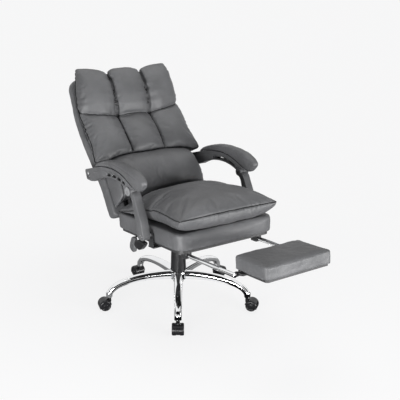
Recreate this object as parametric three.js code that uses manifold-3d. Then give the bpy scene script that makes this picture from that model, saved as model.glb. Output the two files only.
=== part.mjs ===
// Reclining office chair with a pull-out footrest.
// Millimetres, +Z up. The chair faces -Y, so the sitter's right hand is at -X, and the floor is z = 0.
// The gas column stands on the axis x = y = 0 until the last lines centre the chair on its origin.

import * as THREE from 'three';
import { mergeVertices } from 'three/addons/utils/BufferGeometryUtils.js';
import Module from 'manifold-3d';

const wasm = await Module();
wasm.setup();

// Clearances
const seatGap = 0.3; // between pieces that seat on each other
const runningGap = 0.5; // radial, between a shaft and its bore
const sideGap = 0.5; // beside a lug, along its pin
const overrun = 5; // how far a cutter runs past the surface it opens

// Base and casters
const legCount = 5;
const baseTurn = THREE.MathUtils.degToRad(2.3); // the base stands turned a little under the seat
const stemCircleRadius = 330;
const legTipHeight = 60;
const legRootHeight = 135;
const legRootHalfHeight = 16;
const legRootHalfWidth = 17;
const legTipRadius = 11.5;
const legSteps = 7;
const legSides = 8;
const hubRadius = 40;
const hubBottom = 108;
const hubTop = 152;
const wheelRadius = 25;
const wheelWidth = 17;
const wheelSides = 20;
const casterTrail = 22;
const casterWebWidth = 17;
const axleRadius = 3;
const hoodThickness = 2.5;
const hoodGap = 1.2;
const stemRadius = 5;
const stemSocketDepth = 24;

// Column
const outerTubeRadius = 25;
const outerTubeBottom = 96;
const outerTubeDrop = 42; // from the seat frame down to the tube's mouth
const outerTubeFloor = 4;
const dustCoverWall = 2;
const dustCoverBottomRadius = 35.5;
const dustCoverTopRadius = 30.5;
const dustCoverDrop = 25; // from the seat frame down to the cover's rim
const gasCylinderRadius = 14;
const gasCylinderBottom = 130;
const pistonRodRadius = 5;
const pistonRodLength = 132;

// Seat, in a frame tilted about X at the top of the column
const seatFrameHeight = 360;
const seatTilt = THREE.MathUtils.degToRad(4.5);
const mechanismHalfWidth = 86;
const mechanismLength = 210;
const mechanismDepth = 26;
const boardUnderside = 6;
const boardThickness = 12.7;
const seatPadHalfWidth = 247;
const seatPadFront = -384;
const seatPadRear = 141;
const seatPadThickness = 73;
const seatPadCornerRadius = 46;
const boardInset = 16;
const cushionOverhang = 3; // beyond the base pad, each side
const cushionFront = -400;
const cushionRear = 115;
const cushionCrown = 211;
const cushionSeamFront = 150;
const cushionSeamMiddle = 160;
const cushionSeamRear = 95;
const cushionStep = 138; // height of the rear ledge that passes under the lumbar cushion

// Backrest, in a frame that leans back from the vertical
const backLean = THREE.MathUtils.degToRad(32);
const backOriginY = 210;
const backOriginRise = 40; // above the seat frame
const shellDepth = 60;
const shellDepthTop = 32;
const shellTaperBottom = 226;
const shellTaperTop = 470;
const shellBottom = -20;
const shellTop = 674;
const shellHalfWidthBottom = 246;
const shellHalfWidthTop = 278;
const shellTopCornerRadius = 60;
const hingeForward = 34.5;
const hingeUp = 8;
const hingePlateX = 163;
const hingePlateThickness = 6;
const hingeLugRadius = 14;
const hingePinRadius = 6;
const backBarTop = 215;
const lumbarHalfWidth = 237;
const lumbarTop = 248.5;
const lumbarShoulderDrop = 24; // its top corners lie this much lower
const lumbarBottomRear = 45;
const lumbarBottomFront = 58;
const lumbarSideDropRear = 34; // how much lower its underside hangs at the sides
const lumbarSideDropFront = 12;
const lumbarFront = 189;
const lumbarToe = 163;
const lumbarTopForward = 110;
const padHalfWidthBottom = 286;
const padHalfWidthMiddle = 270;
const padHalfWidthTop = 246;
const padBottom = 250;
const padCornerLift = 9; // of the bottom edge, out at the lower corners
const padSplit = 452;
const padSplitEdgeRise = 56;
const padTop = 674;
const padLobeRise = 19;
const padCornerRise = 14; // of the top edge, from the separators out to the corners
const padSeparatorX = 88;

// Arms: four-bar links with equal and parallel sides
const linkReach = 95;
const linkRise = 172;
const postFootY = -185;
const postFootRise = 70; // above the seat frame
const armClearance = 8; // between an arm and the seat cushion or the back shell
const armWidth = 42;
const armPinRadius = 5;
const armLugRadius = 19;
const postThickness = 37;
const bracketThickness = 5;

// Footrest
const railX = 181.5;
const railRadius = 9;
const railLength = 420;
const railFront = -657;
const railZ = -12;
const guideFront = -352;
const guideFrontLength = 36;
const guideRear = -85;
const guideRearLength = 27;
const guideHalfWidth = 14;
const footrestPivotY = -645;
const footrestHalfWidth = 160;
const footrestLength = 188;
const footrestRear = -620;
const footrestThickness = 57;
const footrestUnderside = -8.4;
const footrestBoardThickness = 8;
const footrestBoardInset = 8;

// Levers
const leverRodRadius = 3;
const leverRodZ = 1.5;
const leverPaddleX = 232;
const liftLeverY = -75;
const reclineLeverY = -10;

// Materials
function finish(color, roughness, metalness) {
  return new THREE.MeshStandardMaterial({ color, roughness, metalness });
}
const leather = finish(0x6f6f72, 0.55, 0);
const chrome = finish(0xd5d6d8, 0.12, 1);
const steel = finish(0x3b3c3e, 0.4, 0.8);
const blackPlastic = finish(0x1d1d1f, 0.5, 0);
const greyPlastic = finish(0x58595b, 0.45, 0);
const plywood = finish(0xb08d5f, 0.8, 0);

// Solids and booleans
function solidOf(geometry) {
  const bare = geometry.index ? geometry.toNonIndexed() : geometry.clone();
  bare.deleteAttribute('normal');
  bare.deleteAttribute('uv');
  const merged = mergeVertices(bare, 1e-3);
  return new wasm.Manifold(new wasm.Mesh({
    numProp: 3,
    vertProperties: merged.attributes.position.array,
    triVerts: new Uint32Array(merged.index.array),
  }));
}

function geometryOf(solid) {
  const mesh = solid.getMesh();
  const geometry = new THREE.BufferGeometry();
  geometry.setAttribute('position', new THREE.BufferAttribute(mesh.vertProperties, mesh.numProp));
  geometry.setIndex(new THREE.BufferAttribute(mesh.triVerts, 1));
  return geometry;
}

function join(...geometries) {
  return geometryOf(geometries.map(solidOf).reduce((whole, piece) => whole.add(piece)));
}

function cut(geometry, ...tools) {
  return geometryOf(tools.map(solidOf).reduce((whole, tool) => whole.subtract(tool), solidOf(geometry)));
}

// Turns a closed indexed geometry so that its faces point out.
function facingOut(geometry) {
  const p = geometry.attributes.position;
  const index = geometry.index.array;
  const [a, b, c] = [new THREE.Vector3(), new THREE.Vector3(), new THREE.Vector3()];
  let volume = 0;
  for (let i = 0; i < index.length; i += 3) {
    a.fromBufferAttribute(p, index[i]);
    b.fromBufferAttribute(p, index[i + 1]);
    c.fromBufferAttribute(p, index[i + 2]);
    volume += a.dot(b.cross(c));
  }
  if (volume < 0) {
    for (let i = 0; i < index.length; i += 3) {
      [index[i + 1], index[i + 2]] = [index[i + 2], index[i + 1]];
    }
  }
  return geometry;
}

function closedGeometry(points, index) {
  const geometry = new THREE.BufferGeometry();
  const coordinates = points.flatMap((p) => [p.x, p.y, p.z]);
  geometry.setAttribute('position', new THREE.Float32BufferAttribute(coordinates, 3));
  geometry.setIndex(index);
  return facingOut(geometry);
}

// Turned shape about Z from [radius, height] pairs.
function turned(profile, sides = 24) {
  const points = profile.map(([radius, height]) => new THREE.Vector2(radius, height));
  return facingOut(new THREE.LatheGeometry(points, sides).rotateX(Math.PI / 2));
}

// Solid cylinder along Z between two heights.
function rod(radius, low, high, sides = 24) {
  return turned([[0, low], [radius, low], [radius, high], [0, high]], sides);
}

// Turned shape whose axis points along X, outwards on the side given by sign.
function turnedAlongX(profile, sign, y, z, sides = 24) {
  return turned(profile, sides).rotateY(sign * Math.PI / 2).translate(0, y, z);
}

function rodAlongX(radius, low, high, sign, y, z, sides = 24) {
  return turnedAlongX([[0, low], [radius, low], [radius, high], [0, high]], sign, y, z, sides);
}

const ordered = (a, b) => (a < b ? [a, b] : [b, a]);

function shapeFrom(points) {
  return new THREE.Shape(points.map(([a, b]) => new THREE.Vector2(a, b)));
}

function roundedRectangle(x0, x1, y0, y1, radius) {
  const shape = new THREE.Shape();
  shape.absarc(x1 - radius, y0 + radius, radius, -Math.PI / 2, 0);
  shape.absarc(x1 - radius, y1 - radius, radius, 0, Math.PI / 2);
  shape.absarc(x0 + radius, y1 - radius, radius, Math.PI / 2, Math.PI);
  shape.absarc(x0 + radius, y0 + radius, radius, Math.PI, 1.5 * Math.PI);
  return shape;
}

// Extrudes a shape along Z. A bevel rounds both rims and stays inside the outline.
function slab(shape, low, high, bevel = 0, bevelSteps = 2, curveSegments = 5) {
  return new THREE.ExtrudeGeometry(shape, {
    depth: high - low - 2 * bevel,
    bevelEnabled: bevel > 0,
    bevelThickness: bevel,
    bevelSize: bevel,
    bevelOffset: -bevel,
    bevelSegments: bevelSteps,
    curveSegments,
  }).translate(0, 0, low + bevel);
}

// Extrudes a (y, z) shape along X between two distances from the middle, on the side given by sign.
const sideways = new THREE.Matrix4().makeBasis(
  new THREE.Vector3(0, 1, 0), new THREE.Vector3(0, 0, 1), new THREE.Vector3(1, 0, 0),
);
function sideSlab(shape, inner, outer, sign, bevel = 0, bevelSteps = 2, curveSegments = 5) {
  const [low, high] = ordered(sign * inner, sign * outer);
  return slab(shape, low, high, bevel, bevelSteps, curveSegments).applyMatrix4(sideways);
}

// Skins a row of rings with the same number of points and closes both ends with fans.
function loft(rings) {
  const count = rings[0].length;
  const points = rings.flat();
  const index = [];
  for (let r = 0; r + 1 < rings.length; r++) {
    for (let k = 0; k < count; k++) {
      const next = (k + 1) % count;
      const [a, b] = [r * count + k, r * count + next];
      index.push(a, b, b + count, a, b + count, a + count);
    }
  }
  for (const [ring, turn] of [[0, true], [rings.length - 1, false]]) {
    const centre = rings[ring].reduce((sum, p) => sum.add(p), new THREE.Vector3()).divideScalar(count);
    points.push(centre);
    for (let k = 0; k < count; k++) {
      const [a, b] = [ring * count + k, ring * count + (k + 1) % count];
      index.push(points.length - 1, turn ? b : a, turn ? a : b);
    }
  }
  return closedGeometry(points, index);
}

// A padded form between two sheets that share their side edges: face(u, v) and back(u, v),
// with u from -1 to 1 across and v from 0 to 1 along.
function padded(rows, columns, face, back) {
  const ring = 2 * columns;
  const points = [];
  for (let row = 0; row <= rows; row++) {
    for (let k = 0; k < ring; k++) {
      const u = k <= columns ? -1 + 2 * k / columns : 3 - 2 * k / columns;
      points.push((k <= columns ? face : back)(u, row / rows));
    }
  }
  const index = [];
  for (let row = 0; row < rows; row++) {
    for (let k = 0; k < ring; k++) {
      const [a, b] = [row * ring + k, row * ring + (k + 1) % ring];
      index.push(a, b, b + ring, a, b + ring, a + ring);
    }
  }
  for (const [start, turn] of [[0, false], [rows * ring, true]]) {
    for (let k = 0; k < columns; k++) {
      const corners = [k, k + 1, (ring - k - 1) % ring, (ring - k) % ring].map((i) => start + i);
      if (turn) corners.reverse();
      const [a, b, c, d] = corners;
      if (a !== b && b !== c && a !== c) index.push(a, c, b);
      if (a !== c && c !== d && a !== d) index.push(a, d, c);
    }
  }
  return closedGeometry(points, index);
}

const smooth = (low, high, value) => THREE.MathUtils.smoothstep(value, low, high);
const mix = THREE.MathUtils.lerp;
// A puffed edge: 0 at 1 and -1, nearly 1 over the middle.
const puff = (w) => (1 - Math.min(Math.abs(w), 1) ** 3) ** 0.45;
// Spreads equal steps so that they crowd towards both ends.
const crowded = (w) => (1 - Math.cos(Math.PI * w)) / 2;

// Frames
const chair = new THREE.Group();
const seat = new THREE.Group();
seat.position.z = seatFrameHeight;
seat.rotation.x = -seatTilt;
const back = new THREE.Group();
back.position.set(0, backOriginY, seatFrameHeight + backOriginRise);
back.rotation.x = -backLean;
chair.add(seat, back);
chair.updateMatrixWorld(true);
const intoSeat = seat.matrixWorld.clone().invert();
const intoBack = back.matrixWorld.clone().invert();
// A point of the backrest from its width, its distance forward and its height along the back.
const backPoint = (x, forward, up) => new THREE.Vector3(x, -forward, up);

const reclineHinge = backPoint(0, hingeForward, hingeUp).applyMatrix4(back.matrixWorld);
const hingeInSeat = reclineHinge.clone().applyMatrix4(intoSeat);
const postFoot = new THREE.Vector3(0, postFootY, seatFrameHeight + postFootRise);
const postTop = postFoot.clone().add(new THREE.Vector3(0, linkReach, linkRise));
const armRear = reclineHinge.clone().add(new THREE.Vector3(0, linkReach, linkRise));
const postFootInSeat = postFoot.clone().applyMatrix4(intoSeat);
const armRearInBack = armRear.clone().applyMatrix4(intoBack);

function shellHalfWidth(up) {
  return mix(shellHalfWidthBottom, shellHalfWidthTop, smooth(80, 420, up)) - 10 * smooth(480, shellTop, up);
}

// The arms clear the widest of what stands between them.
const cushionHalfWidth = seatPadHalfWidth + cushionOverhang;
const shellBesideArm = shellHalfWidth(armRearInBack.z + armLugRadius);
const armInnerX = Math.max(cushionHalfWidth, shellBesideArm) + armClearance;
const bracketX = armInnerX - 2 * bracketThickness;

function part(name, geometry, material, parent) {
  const mesh = new THREE.Mesh(geometry, material);
  mesh.name = name;
  parent.add(mesh);
  return mesh;
}

const bothSides = [['left', 1], ['right', -1]];

// Star base
const legAngle = (i) => (i + 0.5) * 2 * Math.PI / legCount - Math.PI / 2 + baseTurn;
const stemTopHeight = legTipHeight + stemSocketDepth;

function legSolid(angle) {
  const path = new THREE.CubicBezierCurve(
    new THREE.Vector2(hubRadius - 10, legRootHeight),
    new THREE.Vector2(stemCircleRadius * 0.58, legRootHeight + 14),
    new THREE.Vector2(stemCircleRadius, legRootHeight - 9),
    new THREE.Vector2(stemCircleRadius, legTipHeight),
  );
  const rings = [];
  for (let i = 0; i <= legSteps; i++) {
    const t = i / legSteps;
    const centre = path.getPoint(t);
    const along = path.getTangent(t);
    const halfHeight = mix(legRootHalfHeight, legTipRadius, t);
    const halfWidth = mix(legRootHalfWidth, legTipRadius, t);
    const ring = [];
    for (let k = 0; k < legSides; k++) {
      const turn = 2 * Math.PI * k / legSides;
      const lift = halfHeight * Math.sin(turn);
      ring.push(new THREE.Vector3(
        centre.x - along.y * lift,
        halfWidth * Math.cos(turn),
        centre.y + along.x * lift,
      ));
    }
    rings.push(ring);
  }
  const knuckle = turned([
    [0, legTipHeight], [legTipRadius, legTipHeight], [legTipRadius, stemTopHeight],
    [legTipRadius * 0.6, stemTopHeight + 5], [0, stemTopHeight + 6],
  ], 12).translate(stemCircleRadius, 0, 0);
  return join(loft(rings), knuckle).rotateZ(angle);
}

function starBase() {
  const hub = turned([
    [0, hubBottom], [hubRadius - 3, hubBottom], [hubRadius, hubBottom + 4], [hubRadius, hubTop - 9],
    [hubRadius - 4, hubTop], [0, hubTop],
  ]);
  const legs = [];
  const bores = [rod(outerTubeRadius + seatGap, hubBottom - overrun, hubTop + overrun)];
  for (let i = 0; i < legCount; i++) {
    legs.push(legSolid(legAngle(i)));
    bores.push(rod(stemRadius + seatGap, legTipHeight - overrun, stemTopHeight + seatGap, 8)
      .translate(stemCircleRadius, 0, 0).rotateZ(legAngle(i)));
  }
  return cut(join(hub, ...legs), ...bores);
}
part('star_base', starBase(), chrome, chair);

// Casters. Each hangs from its stem and trails straight out from the column.
const housingTop = legTipHeight - 2;
const stemBottom = housingTop - 17;
const hoodRadius = wheelRadius + hoodGap;
const wheelInner = casterWebWidth / 2 + sideGap;
const wheelOuter = wheelInner + wheelWidth;
const wheelChamfer = 3;
// The wheel is a polygon whose flats lie on the floor.
const wheelCornerRadius = wheelRadius / Math.cos(Math.PI / wheelSides);

function casterStem() {
  const collarRadius = stemRadius + 4;
  return turned([
    [0, stemBottom], [stemRadius, stemBottom], [stemRadius, housingTop + seatGap],
    [collarRadius, housingTop + seatGap], [collarRadius, legTipHeight - seatGap],
    [stemRadius, legTipHeight - seatGap], [stemRadius, stemTopHeight], [0, stemTopHeight],
  ], 8);
}

function casterHousing() {
  const axle = [casterTrail, wheelRadius];
  const [from, to] = [THREE.MathUtils.degToRad(14), THREE.MathUtils.degToRad(166)];
  const web = new THREE.Shape();
  web.absarc(...axle, hoodRadius + hoodThickness / 2, from, to);
  web.absarc(...axle, axleRadius + 6, to, 2 * Math.PI + from);
  const hood = new THREE.Shape();
  hood.absarc(...axle, hoodRadius + hoodThickness, from, to);
  hood.absarc(...axle, hoodRadius, to, from, true);
  const upright = new THREE.Matrix4().makeBasis(
    new THREE.Vector3(1, 0, 0), new THREE.Vector3(0, 0, 1), new THREE.Vector3(0, -1, 0),
  );
  const plate = (shape, half) => slab(shape, -half, half, 0, 0, 6).applyMatrix4(upright);
  const boss = turned([
    [0, wheelRadius + 6], [casterWebWidth / 2, wheelRadius + 6],
    [casterWebWidth / 2, housingTop], [0, housingTop],
  ], 12);
  const stemBore = rod(stemRadius + runningGap, stemBottom - seatGap, housingTop + overrun, 8);
  const axleBore = rod(axleRadius + runningGap, -wheelOuter, wheelOuter, 10)
    .rotateX(Math.PI / 2).translate(casterTrail, 0, wheelRadius);
  const body = join(plate(web, casterWebWidth / 2), plate(hood, wheelOuter), boss);
  return cut(body, stemBore, axleBore);
}

function casterWheels() {
  const tread = wheelCornerRadius;
  const profile = [
    [0, -wheelOuter], [tread - wheelChamfer, -wheelOuter], [tread, wheelChamfer - wheelOuter],
    [tread, -wheelInner], [axleRadius, -wheelInner], [axleRadius, wheelInner], [tread, wheelInner],
    [tread, wheelOuter - wheelChamfer], [tread - wheelChamfer, wheelOuter], [0, wheelOuter],
  ];
  return turned(profile, wheelSides).rotateX(Math.PI / 2).rotateY(Math.PI / wheelSides)
    .translate(casterTrail, 0, wheelRadius);
}

for (let i = 0; i < legCount; i++) {
  const caster = new THREE.Group();
  caster.rotation.z = legAngle(i);
  caster.position.set(Math.cos(legAngle(i)) * stemCircleRadius, Math.sin(legAngle(i)) * stemCircleRadius, 0);
  chair.add(caster);
  part(`caster_stem_${i + 1}`, casterStem(), steel, caster);
  part(`caster_housing_${i + 1}`, casterHousing(), blackPlastic, caster);
  part(`caster_wheels_${i + 1}`, casterWheels(), blackPlastic, caster);
}

// Column
const tubeFloorTop = outerTubeBottom + outerTubeFloor;
const outerTubeTop = seatFrameHeight - outerTubeDrop;
const dustCoverTop = seatFrameHeight - dustCoverDrop;
const pistonRodTop = tubeFloorTop + pistonRodLength;
const bushDepth = 22;
const tubeBore = gasCylinderRadius + 6;
const bushBore = gasCylinderRadius + runningGap;
part('gas_outer_tube', turned([
  [0, outerTubeBottom], [outerTubeRadius, outerTubeBottom], [outerTubeRadius, outerTubeTop],
  [bushBore, outerTubeTop], [bushBore, outerTubeTop - bushDepth], [tubeBore, outerTubeTop - bushDepth],
  [tubeBore, tubeFloorTop], [0, tubeFloorTop],
]), steel, chair);

const coverInner = (radius) => radius - dustCoverWall;
part('dust_cover', turned([
  [coverInner(dustCoverBottomRadius), hubTop + seatGap], [dustCoverBottomRadius, hubTop + seatGap],
  [dustCoverTopRadius, dustCoverTop], [coverInner(dustCoverTopRadius), dustCoverTop],
  [coverInner(dustCoverBottomRadius), hubTop + seatGap],
]), blackPlastic, chair);

const thrustWasherThickness = 4;
part('piston_rod', turned([
  [0, tubeFloorTop + seatGap], [tubeBore - 4, tubeFloorTop + seatGap],
  [tubeBore - 4, tubeFloorTop + seatGap + thrustWasherThickness],
  [pistonRodRadius, tubeFloorTop + seatGap + thrustWasherThickness],
  [pistonRodRadius, pistonRodTop], [0, pistonRodTop],
]), steel, chair);

const cylinderTop = seatFrameHeight + boardUnderside - 2;
const rodBore = pistonRodRadius + runningGap;
const rodBoreTop = pistonRodTop + 30;
part('gas_cylinder', turned([
  [0, rodBoreTop], [rodBore, rodBoreTop], [rodBore, gasCylinderBottom],
  [gasCylinderRadius, gasCylinderBottom], [gasCylinderRadius, cylinderTop], [0, cylinderTop],
]), steel, chair);

// Under the seat
const mechanismTop = boardUnderside - seatGap;
const leverBore = (y) => rodAlongX(
  leverRodRadius + runningGap, mechanismHalfWidth - 12, mechanismHalfWidth + overrun, -1,
  y, leverRodZ, 12,
);
function mechanismHousing() {
  const body = slab(roundedRectangle(
    -mechanismHalfWidth, mechanismHalfWidth, -mechanismLength / 2, mechanismLength / 2, 14,
  ), mechanismTop - mechanismDepth, mechanismTop, 0, 0, 3);
  const socket = rod(
    gasCylinderRadius + seatGap, seatFrameHeight - 2 * mechanismDepth, seatFrameHeight + mechanismDepth,
  ).applyMatrix4(intoSeat);
  return cut(body, socket, leverBore(liftLeverY), leverBore(reclineLeverY));
}
part('mechanism_housing', mechanismHousing(), steel, seat);

const boardTop = boardUnderside + boardThickness;
part('seat_board', slab(roundedRectangle(
  boardInset - seatPadHalfWidth, seatPadHalfWidth - boardInset,
  seatPadFront + boardInset, seatPadRear - boardInset, seatPadCornerRadius - boardInset,
), boardUnderside, boardTop), plywood, seat);

const seatPadBottom = boardTop + seatGap;
const seatPadTop = seatPadBottom + seatPadThickness;
part('seat_base_pad', slab(roundedRectangle(
  -seatPadHalfWidth, seatPadHalfWidth, seatPadFront, seatPadRear, seatPadCornerRadius,
), seatPadBottom, seatPadTop, 14, 2, 3), leather, seat);

// Seat cushion: crowned, sides drawn in between its corners, one seam round it
function seatCushion() {
  const depth = cushionRear - cushionFront;
  const underside = seatPadTop + seatGap;
  const frontReach = 200;
  const stepStart = -25;
  const stepEnd = 40;
  const ledgeRound = 82;
  const drawIn = 6;
  const lip = 1.5;
  const seam = (y) => (y < -200
    ? mix(cushionSeamFront, cushionSeamMiddle, smooth(cushionFront, -200, y))
    : mix(cushionSeamMiddle, cushionSeamRear, (y + 200) / (cushionRear + 200)));
  const rise = (behind) => puff(1 - Math.min(behind / frontReach, 1));
  const middle = (y, behind) => {
    const crown = mix(cushionSeamFront, cushionCrown, rise(behind));
    const ledge = mix(cushionStep, cushionSeamRear + 2, smooth(ledgeRound, cushionRear, y));
    return mix(crown, ledge, smooth(stepStart, stepEnd, y));
  };
  const place = (u, v) => {
    const along = crowded(v);
    const across = Math.sin(Math.PI * u / 2);
    const y = cushionFront + depth * along + drawIn * (1 - across ** 2) * (1 - v) ** 6;
    const x = across * (cushionHalfWidth - drawIn * Math.sin(Math.PI * along));
    return [x, y, across, depth * along];
  };
  const face = (u, v) => {
    const [x, y, across, behind] = place(u, v);
    const height = Math.max(middle(y, behind) - seam(y), 0) + lip;
    return new THREE.Vector3(x, y, seam(y) + height * puff(across));
  };
  const under = (u, v) => {
    const [x, y, across] = place(u, v);
    const inset = Math.min((y - cushionFront) / 75, (cushionRear - y) / 30, 1);
    const drop = (seam(y) - underside) * 1.12 * puff(across ** 2) * puff(1 - inset) + lip * puff(across);
    return new THREE.Vector3(x, y, Math.max(seam(y) - drop, underside));
  };
  return padded(15, 16, face, under);
}
part('seat_cushion', seatCushion(), leather, seat);

// Arm brackets: a flat foot under the board and an upright beside the base pad
const bracketOuter = bracketX + bracketThickness;
const bracketFootInner = 118;
const bracketFootHalf = 22;
const bracketUprightHalf = 16;
const bracketFootBottom = mechanismTop - 4.5;
function armBracket(sign) {
  const [low, high] = ordered(sign * bracketFootInner, sign * bracketOuter);
  const foot = slab(roundedRectangle(
    low, high, postFootInSeat.y - bracketFootHalf, postFootInSeat.y + bracketFootHalf, 2,
  ), bracketFootBottom, mechanismTop, 0, 0, 1);
  const upright = new THREE.Shape();
  upright.moveTo(postFootInSeat.y - bracketUprightHalf, bracketFootBottom);
  upright.lineTo(postFootInSeat.y + bracketUprightHalf, bracketFootBottom);
  upright.absarc(postFootInSeat.y, postFootInSeat.z, bracketUprightHalf, 0, Math.PI);
  const plate = sideSlab(upright, bracketX, bracketOuter, sign, 0, 0, 8);
  const hole = rodAlongX(
    hingePinRadius + seatGap, bracketX - overrun, bracketOuter + overrun, sign,
    postFootInSeat.y, postFootInSeat.z, 12,
  );
  return cut(join(foot, plate), hole);
}

// Foot bolt: fixed in the bracket, with a spacer collar and a head outside the post
const postOuterX = armInnerX + postThickness;
function armFootBolt(sign) {
  const collar = hingePinRadius + 4;
  const innerEnd = bracketX - 5;
  return turnedAlongX([
    [0, innerEnd], [hingePinRadius, innerEnd], [hingePinRadius, bracketOuter + seatGap],
    [collar, bracketOuter + seatGap], [collar, armInnerX - seatGap], [hingePinRadius, armInnerX - seatGap],
    [hingePinRadius, postOuterX + seatGap], [collar, postOuterX + seatGap],
    [collar, postOuterX + 3], [collar - 2, postOuterX + 4], [0, postOuterX + 4],
  ], sign, postFootInSeat.y, postFootInSeat.z, 12);
}

// Footrest guides: two bored blocks on one strip, notched where the arm bracket's foot crosses it
function footrestGuide(sign) {
  const bottom = railZ - railRadius - 2;
  const notchTop = bracketFootBottom - 2 * seatGap;
  const notchFront = postFootInSeat.y - bracketFootHalf - 3;
  const notchRear = postFootInSeat.y + bracketFootHalf + 3;
  const stripBottom = railZ + railRadius + runningGap + 0.2;
  const [frontBlockEnd, rearBlockStart] = [guideFront + guideFrontLength, guideRear - guideRearLength];
  const profile = shapeFrom([
    [guideFront, bottom], [frontBlockEnd, bottom], [frontBlockEnd, stripBottom],
    [rearBlockStart, stripBottom], [rearBlockStart, bottom], [guideRear, bottom],
    [guideRear, mechanismTop], [notchRear, mechanismTop], [notchRear, notchTop],
    [notchFront, notchTop], [notchFront, mechanismTop], [guideFront, mechanismTop],
  ]);
  const block = sideSlab(profile, railX - guideHalfWidth, railX + guideHalfWidth, sign);
  const bore = rod(railRadius + runningGap, guideFront - overrun, guideRear + overrun)
    .rotateX(-Math.PI / 2).translate(sign * railX, 0, railZ);
  return cut(block, bore);
}

// Hinge plates: from under the board, round behind the base pad and up to the recline hinge
function backHingePlate(sign) {
  const behind = seatPadRear + 2;
  const strapFront = 60;
  const strapBottom = mechanismTop - 10;
  const lug = new THREE.Shape();
  lug.absarc(hingeInSeat.y, hingeInSeat.z, hingeLugRadius, 0, 2 * Math.PI);
  const strap = shapeFrom([
    [strapFront, strapBottom], [behind + 8, strapBottom], [behind + 10, hingeInSeat.z - 36],
    [hingeInSeat.y + 4, hingeInSeat.z - 13], [hingeInSeat.y - 4, hingeInSeat.z + 13],
    [behind, hingeInSeat.z - 14], [behind, mechanismTop], [strapFront, mechanismTop],
  ]);
  const [inner, outer] = [hingePlateX - hingePlateThickness / 2, hingePlateX + hingePlateThickness / 2];
  const plate = join(sideSlab(strap, inner, outer, sign), sideSlab(lug, inner, outer, sign, 0, 0, 12));
  return cut(plate, rodAlongX(
    hingePinRadius + seatGap, inner - overrun, outer + overrun, sign, hingeInSeat.y, hingeInSeat.z, 12,
  ));
}

const backBarInner = hingePlateX + hingePlateThickness / 2 + 2 * sideGap + 2;
const backBarOuter = backBarInner + hingePlateThickness;
function backHingePin(sign) {
  const head = hingePinRadius + 4;
  const headOuter = hingePlateX - hingePlateThickness / 2 - seatGap;
  const headInner = headOuter - 6;
  const end = backBarOuter + 3;
  return turnedAlongX([
    [0, headInner], [head, headInner], [head, headOuter], [hingePinRadius, headOuter],
    [hingePinRadius, end], [0, end],
  ], sign, hingeInSeat.y, hingeInSeat.z, 12);
}

for (const [side, sign] of bothSides) {
  part(`arm_bracket_${side}`, armBracket(sign), steel, seat);
  part(`arm_foot_bolt_${side}`, armFootBolt(sign), steel, seat);
  part(`footrest_guide_${side}`, footrestGuide(sign), blackPlastic, seat);
  part(`back_hinge_plate_${side}`, backHingePlate(sign), steel, seat);
  part(`back_hinge_pin_${side}`, backHingePin(sign), steel, seat);
}

// Levers on the sitter's right: a wire rod out of the mechanism and a moulded paddle on its end
function lever(y, paddleOutline, paddleWidth) {
  const wire = rodAlongX(
    leverRodRadius, mechanismHalfWidth - 10, leverPaddleX + paddleWidth / 2, -1, y, leverRodZ, 12,
  );
  const paddle = sideSlab(paddleOutline, leverPaddleX, leverPaddleX + paddleWidth, -1, 3, 2, 4);
  return join(wire, paddle);
}
const liftPaddle = shapeFrom([
  [liftLeverY + 26, -1], [liftLeverY + 10, 5.5], [liftLeverY - 20, 5.5], [liftLeverY - 48, 1],
  [liftLeverY - 30, -20], [liftLeverY - 8, -37], [liftLeverY + 4, -38], [liftLeverY + 36, -27],
  [liftLeverY + 37, -20],
]);
const reclinePaddle = shapeFrom([
  [reclineLeverY + 12, -9], [reclineLeverY + 6, 3], [reclineLeverY - 6, 7], [reclineLeverY - 18, 5],
  [reclineLeverY - 20, -8], [reclineLeverY - 15, -24], [reclineLeverY - 12, -48], [reclineLeverY - 8, -62],
  [reclineLeverY + 2, -66], [reclineLeverY + 22, -56], [reclineLeverY + 27, -44], [reclineLeverY + 22, -26],
]);
part('lift_lever', lever(liftLeverY, liftPaddle, 26), blackPlastic, seat);
part('recline_lever', lever(reclineLeverY, reclinePaddle, 18), greyPlastic, seat);

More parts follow.
